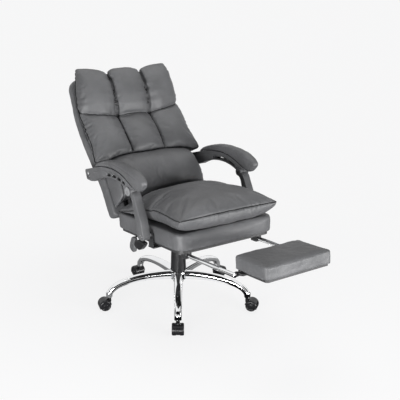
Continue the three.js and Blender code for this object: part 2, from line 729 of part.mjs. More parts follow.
// Back shell: a padded board with slots at the front for the two back bars
const hingePocketTop = 64;
const hingePocketFloor = hingeForward - hingeLugRadius - 8;
function backShell() {
  const outline = new THREE.Shape();
  const bottomRadius = 22;
  const topCentre = shellTop - shellTopCornerRadius;
  const bottomX = shellHalfWidthBottom - bottomRadius;
  const topX = shellHalfWidth(topCentre) - shellTopCornerRadius;
  const stations = [100, 180, 260, 340, 420, 500];
  outline.absarc(bottomX, shellBottom + bottomRadius, bottomRadius, -Math.PI / 2, 0);
  for (const up of stations) outline.lineTo(shellHalfWidth(up), up);
  outline.absarc(topX, topCentre, shellTopCornerRadius, 0, Math.PI / 2);
  outline.absarc(-topX, topCentre, shellTopCornerRadius, Math.PI / 2, Math.PI);
  for (const up of stations.toReversed()) outline.lineTo(-shellHalfWidth(up), up);
  outline.absarc(-bottomX, shellBottom + bottomRadius, bottomRadius, Math.PI, 1.5 * Math.PI);
  const board = slab(outline, 0, shellDepth, 10, 2, 3).rotateX(Math.PI / 2);
  const taper = shapeFrom([
    [-shellDepth, shellTaperBottom], [-shellDepthTop, shellTaperTop], [-shellDepthTop, shellTop + 10],
    [-shellDepth - 10, shellTop + 10], [-shellDepth - 10, shellTaperBottom],
  ]);
  const cuts = [sideSlab(taper, -shellHalfWidthTop - 10, shellHalfWidthTop + 10, 1)];
  for (const [, sign] of bothSides) {
    const pocketSides = ordered(sign * (hingePlateX - 15), sign * (backBarOuter + 7));
    const pocket = roundedRectangle(...pocketSides, shellBottom - 20, hingePocketTop, 1);
    const slotSides = ordered(sign * (backBarInner - seatGap), sign * (backBarOuter + seatGap));
    const slot = roundedRectangle(...slotSides, hingePocketTop - 24, backBarTop + seatGap, 1);
    for (const opening of [pocket, slot]) {
      cuts.push(slab(opening, hingePocketFloor, shellDepth + overrun, 0, 0, 1).rotateX(Math.PI / 2));
    }
    cuts.push(rodAlongX(
      hingePinRadius + seatGap, shellHalfWidthBottom - 15, shellHalfWidthTop + 20, sign,
      armRearInBack.y, armRearInBack.z, 12,
    ));
  }
  return cut(board, ...cuts);
}
part('back_shell', backShell(), leather, back);

// Back bars: a lug round the hinge pin and a flat bar up the slot of the shell
function backBar(sign) {
  const floor = hingePocketFloor + seatGap;
  const front = shellDepth - 3;
  const barBottom = 45;
  const lug = new THREE.Shape();
  lug.absarc(-hingeForward, hingeUp, hingeLugRadius, 0, 2 * Math.PI);
  const bar = shapeFrom([
    [-hingeForward - 8, hingeUp], [-hingeForward + 8, hingeUp], [-floor, barBottom], [-floor, backBarTop],
    [-front, backBarTop], [-front, barBottom],
  ]);
  const body = join(
    sideSlab(bar, backBarInner, backBarOuter, sign),
    sideSlab(lug, backBarInner, backBarOuter, sign, 0, 0, 12),
  );
  const bore = hingePinRadius + runningGap;
  return cut(body, rodAlongX(
    bore, backBarInner - overrun, backBarOuter + overrun, sign, -hingeForward, hingeUp, 12,
  ));
}

// Studs on the shell's sides that carry the rear ends of the arms
function armRearStud(sign) {
  const flange = hingePinRadius + 5;
  const flangeInner = shellHalfWidth(armRearInBack.z + flange) + seatGap;
  const innerEnd = shellHalfWidthBottom - 12;
  const outerEnd = armInnerX + armWidth - 4;
  return turnedAlongX([
    [0, innerEnd], [hingePinRadius, innerEnd], [hingePinRadius, flangeInner],
    [flange, flangeInner], [flange, flangeInner + 3], [hingePinRadius, flangeInner + 6],
    [hingePinRadius, outerEnd], [0, outerEnd],
  ], sign, armRearInBack.y, armRearInBack.z, 12);
}

for (const [side, sign] of bothSides) {
  part(`back_bar_${side}`, backBar(sign), steel, back);
  part(`arm_rear_stud_${side}`, armRearStud(sign), steel, back);
}

// How far forward a pad's rear lies on the shell
const shellFront = (up) => seatGap + mix(
  shellDepth, shellDepthTop,
  THREE.MathUtils.clamp((up - shellTaperBottom) / (shellTaperTop - shellTaperBottom), 0, 1),
);

// How far the seam between the lumbar cushion and the back pad falls, a given way out from the middle
const shoulderFall = (x) => lumbarShoulderDrop * Math.min(Math.abs(x) / lumbarHalfWidth, 1) ** 4;

// Lumbar cushion: full front and sides, domed at the top, its underside rising a little towards the front
function lumbarCushion() {
  const front = (share) => mix(lumbarToe, lumbarFront, Math.sin(Math.PI / 2 * Math.min(share * 2, 1)))
    - (lumbarFront - lumbarTopForward) * smooth(0.4, 1.15, share) / smooth(0.4, 1.15, 1);
  const stations = 14;
  const rear = shellFront(0);
  const under = (forward, hang) => mix(
    lumbarBottomRear - lumbarSideDropRear * hang, lumbarBottomFront - lumbarSideDropFront * hang,
    (forward - rear) / (lumbarToe - rear),
  );
  const rings = [];
  for (let i = 0; i <= stations; i++) {
    const u = Math.sin(Math.PI * (i / stations - 0.5));
    const fullness = Math.max(puff(Math.abs(u) ** 3.2 * 0.99), 0.4);
    const deep = (forward) => mix(rear, forward, fullness);
    const hang = smooth(0.7, 1, Math.abs(u));
    const x = u * lumbarHalfWidth;
    const top = lumbarTop - shoulderFall(x);
    const ring = [];
    for (const w of [0, 1 / 3, 2 / 3]) {
      const forward = mix(rear, deep(lumbarToe), w);
      ring.push(backPoint(x, forward, under(forward, hang)));
    }
    const toe = under(deep(lumbarToe), hang);
    for (let k = 0; k <= 8; k++) {
      ring.push(backPoint(x, deep(front(k / 8)), mix(toe, top, crowded(k / 8))));
    }
    ring.push(backPoint(x, mix(rear, deep(front(1)), 0.5), top));
    ring.push(backPoint(x, rear, top));
    ring.push(backPoint(x, rear, mix(top, under(rear, hang), 0.5)));
    rings.push(ring);
  }
  return loft(rings);
}
part('lumbar_cushion', lumbarCushion(), leather, back);

// Back pad: two rows of three puffed cells, the lower row hanging over the lumbar cushion
function backPad() {
  const cornerForward = 98;
  const splitForward = 44;
  const seamForward = 63;
  const topForward = 80;
  const bottomForward = lumbarTopForward + 2;
  const lowerPuff = 36;
  const upperPuff = 34;
  const upperBow = 24;
  const third = 1 / 3;
  const outer = (u) => Math.max((Math.abs(u) - third) / (1 - third), 0);
  const cell = (u) => (Math.abs(u) < third ? u / third : 2 * outer(u) - 1);
  const halfWidth = (row, w) => (row === 0
    ? mix(padHalfWidthBottom, padHalfWidthMiddle, smooth(0, 0.4, w))
    : mix(padHalfWidthMiddle, padHalfWidthTop, w ** 1.5));
  const place = (u, v) => {
    const row = v < 0.5 ? 0 : 1;
    const w = crowded(row === 0 ? 2 * v : 2 * v - 1);
    const half = halfWidth(row, w);
    const x = Math.sign(u) * (padSeparatorX * Math.min(Math.abs(u) / third, 1)
      + (half - padSeparatorX) * Math.sin(Math.PI / 2 * outer(u)));
    const bottom = padBottom - shoulderFall(x) + padCornerLift * smooth(0.85, 1, Math.abs(u));
    const split = padSplit + padSplitEdgeRise * Math.abs(u) ** 3;
    const lobe = padLobeRise * (1 - cell(u) ** 2) ** 0.6;
    const top = padTop + lobe + padCornerRise * smooth(third, 1, Math.abs(u));
    const up = row === 0 ? mix(bottom, split, w) : mix(split, top, w);
    return [x, up, row, w];
  };
  const edge = (row, w) => (row === 0
    ? mix(cornerForward, splitForward, w)
    : mix(splitForward, topForward, w));
  const groove = (row, w) => (row === 0
    ? mix(bottomForward, seamForward, w ** 1.1)
    : mix(seamForward, topForward + 2, w) + upperBow * 4 * w * (1 - w));
  const face = (u, v) => {
    const [x, up, row, w] = place(u, v);
    const swell = (row === 0 ? lowerPuff : upperPuff) * puff(2 * w - 1) * puff(cell(u) * 0.99);
    const fall = outer(u) ** 3;
    const forward = mix(groove(row, w), edge(row, w), fall) + swell * (1 - outer(u) ** 8);
    return backPoint(x, forward, up);
  };
  const rear = (u, v) => {
    const [x, up, row, w] = place(u, v);
    const lift = row === 0 ? 0 : (topForward - 4 - shellFront(up)) * smooth(0.25, 1, w);
    return backPoint(x, mix(shellFront(up) + lift, edge(row, w), outer(u) ** 6), up);
  };
  return padded(18, 22, face, rear);
}
part('back_pad', backPad(), leather, back);

// Arms. Outlines are (y, z) in the chair's frame.
const archCrownY = 25;
const archUnder = (y) => postTop.z + 24 - (y > archCrownY ? 0.0014 : 0.00185) * (y - archCrownY) ** 2;
const archTopY = 40;
const archTop = (y) => postTop.z + 64 - (y > archTopY ? 0.0009 : 0.00164) * (y - archTopY) ** 2;
const archFrontY = postTop.y - 28;
const armRearEnd = armRear.y + 30;
const armOuterX = armInnerX + armWidth;
const lugSplitX = armInnerX + armWidth / 2;
const cutInner = armInnerX - overrun;
const cutOuter = armOuterX + overrun;
const armPadRear = armRear.y - 52;
const archTopSteps = 8;
const webThickness = 7; // of the arch's outer face, past the hollow behind its slots

function spaced(from, to, steps, height) {
  return Array.from({ length: steps + 1 }, (_, i) => {
    const y = mix(from, to, i / steps);
    return [y, height(y)];
  });
}

// Arch: carries the pad, with four slots along its underside and half a lug at the front pivot
function armArch(sign) {
  const outline = shapeFrom([
    ...spaced(archFrontY + 46, armRear.y - 62, 7, archUnder),
    [armRear.y - 26, armRear.z - 31], [armRear.y + 14, armRear.z - 31],
    [armRearEnd, armRear.z + 6], [armRearEnd - 4, armRear.z + 14],
    ...spaced(armPadRear, archFrontY, archTopSteps, archTop),
    [archFrontY + 4, postTop.z + 16],
  ]);
  const slotHalfHeight = 6;
  const slotRise = 13;
  const slots = [[-73, 8], [-35, 11], [9, 12], [54, 12]]; // centre from the crown, half length
  for (const [fromCrown, half] of slots) {
    const y = archCrownY + fromCrown;
    const slot = new THREE.Path();
    slot.absarc(y + half, archUnder(y + half) + slotRise, slotHalfHeight, -Math.PI / 2, Math.PI / 2);
    slot.absarc(y - half, archUnder(y - half) + slotRise, slotHalfHeight, Math.PI / 2, 1.5 * Math.PI);
    outline.holes.push(slot);
  }
  const lug = new THREE.Shape();
  lug.absarc(postTop.y, postTop.z, armLugRadius + 1, 0, 2 * Math.PI);
  const body = join(
    sideSlab(outline, armInnerX, armOuterX, sign, 0, 0, 2),
    sideSlab(lug, lugSplitX + sideGap / 2, armOuterX, sign, 0, 0, 8),
  );
  const [hollowFront, hollowRear] = [archCrownY - 88, archCrownY + 78];
  const hollow = shapeFrom([
    ...spaced(hollowFront, hollowRear, 5, (y) => archUnder(y) + slotRise - slotHalfHeight - 1),
    ...spaced(hollowRear, hollowFront, 5, (y) => archUnder(y) + slotRise + slotHalfHeight + 1),
  ]);
  return cut(body,
    sideSlab(hollow, cutInner, armOuterX - webThickness, sign, 0, 0, 1),
    rodAlongX(armLugRadius + 1.5, cutInner, lugSplitX + sideGap / 2, sign, postTop.y, postTop.z, 20),
    rodAlongX(armPinRadius + seatGap, cutInner, cutOuter, sign, postTop.y, postTop.z, 12),
    rodAlongX(hingePinRadius + runningGap, cutInner, cutOuter, sign, armRear.y, armRear.z, 12),
  );
}

// Pad: rings between the arch's top edge and a crowned top line, rolled under at the nose
const armPadTop = new THREE.SplineCurve([
  [armPadRear + 3, 34], [armPadRear - 47, 66], [armPadRear - 156, 97], [armPadRear - 270, 103],
  [armPadRear - 363, 91], [armPadRear - 416, 65], [armPadRear - 422, 47],
].map(([y, rise]) => new THREE.Vector2(y, postTop.z + rise)));

function armPad(sign) {
  const nose = [[13, 16], [26, 11], [40, 13], [54, 21], [64, 32]];
  const bottom = [
    ...spaced(armPadRear, archFrontY, archTopSteps, (y) => archTop(y) + seatGap),
    ...nose.map(([ahead, rise]) => [archFrontY - ahead, postTop.z + rise]),
  ];
  const last = bottom.length - 1;
  const ringPoints = 12;
  const halfWidth = armWidth / 2 + 3;
  const squared = (w) => Math.sign(w) * Math.abs(w) ** 0.6;
  const tallest = squared(Math.cos(Math.PI / ringPoints));
  const rings = bottom.map(([y, z], i) => {
    const low = new THREE.Vector2(y, z);
    const high = armPadTop.getPointAt(i / last);
    const centre = low.clone().add(high).divideScalar(2);
    const half = high.clone().sub(low).divideScalar(2);
    const width = halfWidth * Math.min(0.6 + 0.25 * i, 1, 0.55 + 0.2 * (last - i));
    const ring = [];
    for (let k = 0; k < ringPoints; k++) {
      const turn = 2 * Math.PI * (k + 0.5) / ringPoints;
      const p = half.clone().multiplyScalar(squared(Math.sin(turn)) / tallest).add(centre);
      ring.push(new THREE.Vector3(sign * lugSplitX + width * squared(Math.cos(turn)), p.x, p.y));
    }
    return ring;
  });
  return loft(rings);
}

// Post: leans forward to its foot, with half a lug at the top
function armPost(sign) {
  const [ty, tz, fy, fz] = [postTop.y, postTop.z, postFoot.y, postFoot.z];
  const outline = shapeFrom([
    [fy + 38, fz - 2], [fy + 54, fz + 66], [ty - 16, tz - 29], [ty + 6, tz - 15], [ty, tz],
    [ty - 18, tz + 4], [ty - 38, tz - 10], [ty - 47, tz - 30], [fy + 6, fz + 66], [fy - 14, fz],
    [fy - 13, fz - 10], [fy - 4, fz - 18], [fy + 20, fz - 19], [fy + 32, fz - 13],
  ].reverse());
  const lug = new THREE.Shape();
  lug.absarc(ty, tz, armLugRadius, 0, 2 * Math.PI);
  const body = join(
    sideSlab(outline, armInnerX, postOuterX, sign),
    sideSlab(lug, armInnerX, lugSplitX - sideGap / 2, sign, 0, 0, 8),
  );
  return cut(body,
    rodAlongX(armLugRadius + 2, lugSplitX - sideGap / 2, cutOuter, sign, ty, tz, 20),
    rodAlongX(armPinRadius + runningGap, cutInner, cutOuter, sign, ty, tz, 12),
    rodAlongX(hingePinRadius + runningGap, cutInner, cutOuter, sign, fy, fz, 12),
  );
}

function armPivotPin(sign) {
  const head = armPinRadius + 16;
  const innerEnd = armInnerX - 2;
  return turnedAlongX([
    [0, innerEnd], [armPinRadius, innerEnd], [armPinRadius, armOuterX + seatGap],
    [head, armOuterX + seatGap], [head, armOuterX + 2], [head - 2, armOuterX + 3], [0, armOuterX + 3],
  ], sign, postTop.y, postTop.z, 12);
}

for (const [side, sign] of bothSides) {
  part(`arm_arch_${side}`, armArch(sign), greyPlastic, chair);
  part(`arm_pad_${side}`, armPad(sign), leather, chair);
  part(`arm_post_${side}`, armPost(sign), greyPlastic, chair);
  part(`arm_pivot_pin_${side}`, armPivotPin(sign), greyPlastic, chair);
}

// Footrest
const earInner = footrestHalfWidth + 2.5;
const earOuter = earInner + 7;
const railInner = railX - railRadius;
const earPinRadius = 5;
const railRear = railFront + railLength;

function footrestRail(sign) {
  const tube = turned([
    [0, railFront], [railRadius - 2, railFront], [railRadius, railFront + 2],
    [railRadius, railRear], [0, railRear],
  ]).rotateX(-Math.PI / 2).translate(sign * railX, 0, railZ);
  return cut(tube, rodAlongX(
    earPinRadius + seatGap, railInner - overrun, railX + railRadius - 3, sign, footrestPivotY, railZ, 12,
  ));
}

const pivotRod = rod(earPinRadius, -railX - 3, railX + 3, 16).rotateY(Math.PI / 2)
  .translate(0, footrestPivotY, railZ);

// Ears: a ring round the pivot rod and a tongue along the side of the footrest board
function footrestEar(sign) {
  const ring = new THREE.Shape();
  ring.absarc(footrestPivotY, railZ, earPinRadius + 5, 0, 2 * Math.PI);
  const tongueFront = footrestPivotY - 44;
  const tongueInner = footrestHalfWidth - footrestBoardInset + sideGap;
  const tongue = shapeFrom([
    [tongueFront, railZ + 4], [footrestPivotY, railZ - 5], [footrestPivotY + 4, railZ + 7],
    [tongueFront, railZ + 11],
  ]);
  const body = join(
    sideSlab(ring, earInner, earOuter, sign, 0, 0, 8), sideSlab(tongue, tongueInner, earOuter, sign),
  );
  return cut(body, rodAlongX(
    earPinRadius + runningGap, tongueInner - overrun, earOuter + overrun, sign, footrestPivotY, railZ, 12,
  ));
}

const footrestFront = footrestRear - footrestLength;
const footrestBoardTop = footrestUnderside + footrestBoardThickness;
function footrestBoard() {
  const halfWidth = footrestHalfWidth - footrestBoardInset;
  const board = slab(roundedRectangle(
    -halfWidth, halfWidth, footrestFront + footrestBoardInset, footrestRear - footrestBoardInset, 12,
  ), footrestUnderside, footrestBoardTop, 0, 0, 4);
  const halfCut = halfWidth + overrun;
  return cut(board, rod(earPinRadius + 4, -halfCut, halfCut, 16)
    .rotateY(Math.PI / 2).translate(0, footrestPivotY, railZ));
}
part('footrest_board', footrestBoard(), plywood, seat);
part('footrest_pad', slab(roundedRectangle(
  -footrestHalfWidth, footrestHalfWidth, footrestFront, footrestRear, 20,
), footrestBoardTop + seatGap, footrestBoardTop + seatGap + footrestThickness, 9, 2, 3), leather, seat);
part('footrest_pivot_rod', pivotRod, steel, seat);
for (const [side, sign] of bothSides) {
  part(`footrest_rail_${side}`, footrestRail(sign), chrome, seat);
  part(`footrest_ear_${side}`, footrestEar(sign), blackPlastic, seat);
}

// The origin is under the middle of the chair.
const middle = new THREE.Box3().setFromObject(chair, true).getCenter(new THREE.Vector3());
chair.position.y = -middle.y;

const model = new THREE.Group();
model.add(chair);
export default model;
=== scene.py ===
# Looks of a reclining office chair with a pull-out footrest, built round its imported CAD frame.
# Lengths are in millimetres in three local frames (chair, seat and back), as in the part's source,
# and each mesh is made in metres in the row frame. The sitter's right hand is at -X.
import math

import bmesh
import bpy
import numpy as np
from mathutils import Matrix, Vector, noise
from mathutils.bvhtree import BVHTree
from mathutils.kdtree import KDTree

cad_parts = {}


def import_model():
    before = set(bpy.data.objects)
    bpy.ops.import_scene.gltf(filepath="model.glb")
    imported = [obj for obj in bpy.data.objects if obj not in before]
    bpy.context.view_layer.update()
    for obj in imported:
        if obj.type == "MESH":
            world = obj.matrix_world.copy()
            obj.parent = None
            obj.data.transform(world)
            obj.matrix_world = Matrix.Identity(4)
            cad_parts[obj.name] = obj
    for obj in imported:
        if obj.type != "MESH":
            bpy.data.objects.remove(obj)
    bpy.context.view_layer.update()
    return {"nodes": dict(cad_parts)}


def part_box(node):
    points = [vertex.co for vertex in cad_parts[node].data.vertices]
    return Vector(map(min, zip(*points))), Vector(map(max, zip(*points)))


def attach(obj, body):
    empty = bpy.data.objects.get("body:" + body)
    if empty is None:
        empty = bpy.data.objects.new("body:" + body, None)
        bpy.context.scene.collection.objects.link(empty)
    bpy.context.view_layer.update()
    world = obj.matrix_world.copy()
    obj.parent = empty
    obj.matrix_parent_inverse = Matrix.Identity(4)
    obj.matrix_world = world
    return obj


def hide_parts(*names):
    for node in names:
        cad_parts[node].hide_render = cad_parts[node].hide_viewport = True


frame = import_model()
scene = bpy.context.scene

# Frames: a place matrix takes millimetres of a local frame to metres of the row frame.
MM = 0.001
SIDES = (("left", 1), ("right", -1))
cylinder_low, cylinder_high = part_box("gas_cylinder")
COLUMN_Y = (cylinder_low.y + cylinder_high.y) / 2
SEAT_HEIGHT, SEAT_TILT = 360, 4.5
BACK_Y, BACK_RISE, BACK_LEAN = 210, 40, 32
CHAIR = Matrix.Translation((0, COLUMN_Y, 0)) @ Matrix.Scale(MM, 4)
SEAT = CHAIR @ Matrix.Translation((0, 0, SEAT_HEIGHT)) @ Matrix.Rotation(math.radians(-SEAT_TILT), 4, "X")
BACK = (CHAIR @ Matrix.Translation((0, BACK_Y, SEAT_HEIGHT + BACK_RISE))
        @ Matrix.Rotation(math.radians(-BACK_LEAN), 4, "X"))
# Turns (a, b, depth) so that a plate's outline lies in (y, z) and its depth runs along X.
SIDEWAYS = Matrix(((0, 0, 1, 0), (1, 0, 0, 0), (0, 1, 0, 0), (0, 0, 0, 1)))
# Turns (a, b, depth) so that the outline lies in (x, z) and the depth runs along Y.
UPRIGHT = Matrix(((1, 0, 0, 0), (0, 0, 1, 0), (0, 1, 0, 0), (0, 0, 0, 1)))

# Seat
PAD_HALF_WIDTH, PAD_FRONT, PAD_REAR = 247, -384, 141
PAD_BOTTOM, PAD_TOP, PAD_CORNER = 19, 92, 46
CUSHION_HALF_WIDTH, CUSHION_FRONT, CUSHION_REAR = 250, -400, 115
CUSHION_CROWN, CUSHION_LEDGE, CUSHION_BOW, CUSHION_SLACK, CROWN_REACH = 211, 138, 6, 14, 200
SEAM_FRONT, SEAM_MIDDLE, SEAM_REAR, SEAM_PEAK_Y = 150, 160, 95, -200

# Back, up and forward in its own leaning frame
SHELL_DEPTH, SHELL_DEPTH_TOP, SHELL_TAPER_BOTTOM, SHELL_TAPER_TOP = 60, 32, 226, 470
SHELL_BOTTOM, SHELL_TOP = -20, 674
SHELL_HALF_BOTTOM, SHELL_HALF_TOP = 246, 278
SHELL_CORNER_BOTTOM, SHELL_CORNER_TOP, SHELL_RIM, SHELL_PANEL_INSET = 22, 60, 11, 26
LUMBAR_HALF_WIDTH, LUMBAR_TOP, LUMBAR_SHOULDER, LUMBAR_SLACK = 237, 248.5, 24, 12
LUMBAR_FRONT, LUMBAR_TOE, LUMBAR_TOP_FORWARD = 189, 163, 110
LUMBAR_BOTTOM_REAR, LUMBAR_BOTTOM_FRONT, LUMBAR_HANG_REAR, LUMBAR_HANG_FRONT = 45, 58, 34, 12
BACK_PAD_BOTTOM, BACK_PAD_LIFT, BACK_PAD_SPLIT, BACK_PAD_SPLIT_RISE = 250, 9, 452, 56
BACK_PAD_TOP, BACK_PAD_LOBE, BACK_PAD_CORNER, BACK_PAD_SEPARATOR = 674, 19, 14, 88
# Of the back pad at its bottom, its split and its top: half its width, and how far forward its edges
# and the grooves between its cells lie.
BACK_PAD_HALF = (286, 270, 246)
BACK_PAD_EDGE = (98, 44, 80)
BACK_PAD_GROOVE = (LUMBAR_TOP_FORWARD + 2, 63, 82)
SWELL_LOWER, SWELL_UPPER, GROOVE_BOW, BACK_PAD_REAR_TOP = 36, 34, 24, 76
CELL_EDGE = 1 / 3

# Arms
POST_FOOT = (-185, 430)
POST_TOP = (-90, 602)
ARM_REAR = (279.98, 597.07)
ARM_INNER, ARM_WIDTH, POST_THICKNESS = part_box("arm_post_left")[0].x / MM, 42, 37
ARM_OUTER, ARM_SPLIT = ARM_INNER + ARM_WIDTH, ARM_INNER + ARM_WIDTH / 2
LUG_RADIUS, LUG_GAP, BEYOND = 19, 0.25, 5
ARCH_FRONT, ARCH_REAR, ARM_PAD_REAR = POST_TOP[0] - 28, ARM_REAR[0] + 30, ARM_REAR[0] - 52
ARM_PAD_HALF, ARM_PAD_END = 22.8, 13

# Footrest and levers
RAIL_X, RAIL_RADIUS, RAIL_FRONT, RAIL_LENGTH, RAIL_Z = 181.5, 9, -657, 420, -12
FOOTREST_HALF_WIDTH, FOOTREST_FRONT, FOOTREST_REAR = 160, -808, -620
FOOTREST_BOTTOM, FOOTREST_TOP = -0.1, 56.9
LEVER_PADDLE_X, LEVER_ROD_RADIUS, LEVER_ROD_Z = 232, 3, 1.5
LIFT_LEVER_Y, RECLINE_LEVER_Y = -75, -10

# Base
BASE_TURN = 2.3
LEG_ANGLES = [72 * (i + 0.5) - 90 + BASE_TURN for i in range(5)]
STEM_CIRCLE, LEG_TIP, LEG_ROOT = 330, 60, 135
HUB_RADIUS, HUB_BORE, HUB_BOTTOM, HUB_TOP = 40, 25.3, 108, 152
WHEEL_RADIUS, WHEEL_WIDTH, CASTER_TRAIL, CASTER_WEB = 25, 17, 22, 17
HOOD_RADIUS, HOOD_START, HOOD_END = WHEEL_RADIUS + 1.2, -26, 168
COVER_TOP, COVER_RADIUS_BOTTOM, COVER_RADIUS_TOP = 335, 35.5, 30.5


# Numbers
def smooth(low, high, value):
    t = np.clip((value - low) / (high - low), 0, 1)
    return t * t * (3 - 2 * t)


def mix(a, b, share):
    return a + (b - a) * share


def puff(w):
    """A puffed edge: 0 at 1 and -1, nearly 1 over the middle."""
    return (1 - np.minimum(np.abs(w), 1) ** 3) ** 0.45


def crowded(w):
    """Spreads equal steps so that they crowd towards both ends."""
    return (1 - np.cos(np.pi * w)) / 2


def world(points, place):
    matrix = np.array(place)
    return np.asarray(points, float) @ matrix[:3, :3].T + matrix[:3, 3]


def local(points, place):
    return world(points, place.inverted())


def back_points(x, forward, up):
    return np.stack(np.broadcast_arrays(x, -np.asarray(forward, float), up), -1)


def eased(before, corner, after, radius, steps):
    """Points that round off a corner between its two neighbours."""
    reach = min(radius, (before - corner).length * 0.45, (after - corner).length * 0.45)
    start = corner + (before - corner).normalized() * reach
    end = corner + (after - corner).normalized() * reach
    shares = [i / steps for i in range(steps + 1)]
    return [start * (1 - t) ** 2 + corner * 2 * t * (1 - t) + end * t ** 2 for t in shares]


def rounded(profile, radius, steps=4):
    """Rounds the inner corners of an open profile."""
    points = [Vector(p) for p in profile]
    out = points[:1]
    for corner in zip(points, points[1:], points[2:]):
        out += eased(*corner, radius, steps)
    return [tuple(p) for p in out + points[-1:]]


def rounded_loop(outline, radius, steps=5):
    """Rounds the corners of a closed outline."""
    points = [Vector(p) for p in outline]
    corners = zip(points[-1:] + points[:-1], points, points[1:] + points[:1])
    return [tuple(p) for corner in corners for p in eased(*corner, radius, steps)]


def cylinder(radius, height, rim):
    """The profile of a solid cylinder with rounded rims."""
    return rounded([(0, 0), (radius, 0), (radius, height), (0, height)], rim)


def circle(y, z, radius, count=48):
    turns = np.arange(count) * 2 * np.pi / count
    return [(y + radius * math.cos(t), z + radius * math.sin(t)) for t in turns]


def quarter(radius, offset):
    """The height of a circle at an offset from its centre, and 0 outside it."""
    return math.sqrt(max(radius ** 2 - offset ** 2, 0))


def squared(turns, power):
    """Cosines and sines of the turns round a section, squared off by a power below 1."""
    return [np.sign(part) * np.abs(part) ** power for part in (np.cos(turns), np.sin(turns))]


def softened(loop, rounds):
    """Cuts the corners of a closed outline until it is smooth."""
    points = np.array(loop, float)
    for _ in range(rounds):
        following = np.roll(points, -1, 0)
        cuts = [0.75 * points + 0.25 * following, 0.25 * points + 0.75 * following]
        points = np.stack(cuts, 1).reshape(-1, 2)
    return [tuple(p) for p in points]


def evenly(line, step=None, count=None):
    """The line again with points about a step apart, or with a given count of them."""
    line = np.asarray(line, float)
    lengths = np.concatenate([[0], np.cumsum(np.linalg.norm(np.diff(line, axis=0), axis=1))])
    stations = np.linspace(0, lengths[-1], count or max(int(lengths[-1] / step), 2) + 1)
    return np.stack([np.interp(stations, lengths, column) for column in line.T], -1)


def catmull(points, count):
    """Evenly spaced points on a smooth curve through the given ones."""
    p = np.array(points, float)
    p = np.vstack([2 * p[0] - p[1], p, 2 * p[-1] - p[-2]])
    out = []
    for a, b, c, d in zip(p, p[1:], p[2:], p[3:]):
        for t in np.linspace(0, 1, 20, endpoint=False):
            out.append(0.5 * (2 * b + (c - a) * t + (2 * a - 5 * b + 4 * c - d) * t ** 2
                              + (3 * b - a - 3 * c + d) * t ** 3))
    return evenly(out + [p[-2]], count=count)


# Meshes
def coordinates(mesh, key="co"):
    values = np.empty(len(mesh.vertices) * 3, np.float32)
    mesh.vertices.foreach_get(key, values)
    return values.reshape(-1, 3).astype(float)


def set_coordinates(mesh, points):
    mesh.vertices.foreach_set("co", np.asarray(points, np.float32).ravel())
    mesh.update()


def make(name, points, faces, place, paint, sharp=40):
    """A new piece from local points and faces, closed up and facing out."""
    mesh = bpy.data.meshes.new(name)
    mesh.from_pydata(world(points, place).tolist(), [], [tuple(f) for f in faces])
    form = bmesh.new()
    form.from_mesh(mesh)
    bmesh.ops.remove_doubles(form, verts=form.verts, dist=2e-6)
    bmesh.ops.dissolve_degenerate(form, edges=form.edges, dist=2e-6)
    bmesh.ops.recalc_face_normals(form, faces=form.faces)
    form.to_mesh(mesh)
    form.free()
    mesh.shade_smooth()
    mesh.set_sharp_from_angle(angle=math.radians(sharp))
    mesh.materials.append(paint)
    piece = bpy.data.objects.new(name, mesh)
    scene.collection.objects.link(piece)
    return piece


def placed(piece, body, slot, *nodes):
    """Puts a finished piece on its body and in place of its CAD nodes."""
    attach(piece, body)
    if nodes:
        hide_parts(*nodes)


def joined(name, *pieces):
    bpy.ops.object.select_all(action="DESELECT")
    for piece in pieces:
        piece.select_set(True)
    bpy.context.view_layer.objects.active = pieces[0]
    bpy.ops.object.join()
    pieces[0].name = name
    return pieces[0]


def skin(rings, capped=True):
    """Points and faces over a stack of closed rings, with a fan over each end."""
    rings = np.asarray(rings, float)
    count = rings.shape[1]
    points = rings.reshape(-1, 3)
    faces = []
    for r in range(len(rings) - 1):
        for k in range(count):
            a, b = r * count + k, r * count + (k + 1) % count
            faces.append((a, b, b + count, a + count))
    if capped:
        for r in (0, len(rings) - 1):
            points = np.vstack([points, rings[r].mean(0)])
            for k in range(count):
                faces.append((len(points) - 1, r * count + k, r * count + (k + 1) % count))
    return points, faces


def lathe(profile, sides):
    """Points and faces of a shape turned about Z from (radius, height) pairs."""
    turns = np.arange(sides) * 2 * np.pi / sides
    rings = [np.stack([r * np.cos(turns), r * np.sin(turns), np.full(sides, z)], -1) for r, z in profile]
    return skin(rings, capped=False)


def sheets(face, back, rows, columns):
    """Points and faces of a closed form between two sheets.
    Each sheet takes u, from -1 to 1 across it, and v, from 0 to 1 along it."""
    v, u = np.meshgrid(np.linspace(0, 1, rows + 1), np.linspace(-1, 1, columns + 1), indexing="ij")
    across = columns + 1
    points = np.vstack([face(u, v).reshape(-1, 3), back(u, v).reshape(-1, 3)])
    behind = (rows + 1) * across
    faces = []
    for r in range(rows):
        for k in range(columns):
            a = r * across + k
            faces.append((a, a + 1, a + across + 1, a + across))
            faces.append((behind + a, behind + a + across, behind + a + across + 1, behind + a + 1))
    for r in (0, rows):
        for k in range(columns):
            a = r * across + k
            faces.append((a, a + 1, behind + a + 1, behind + a))
    return points, faces


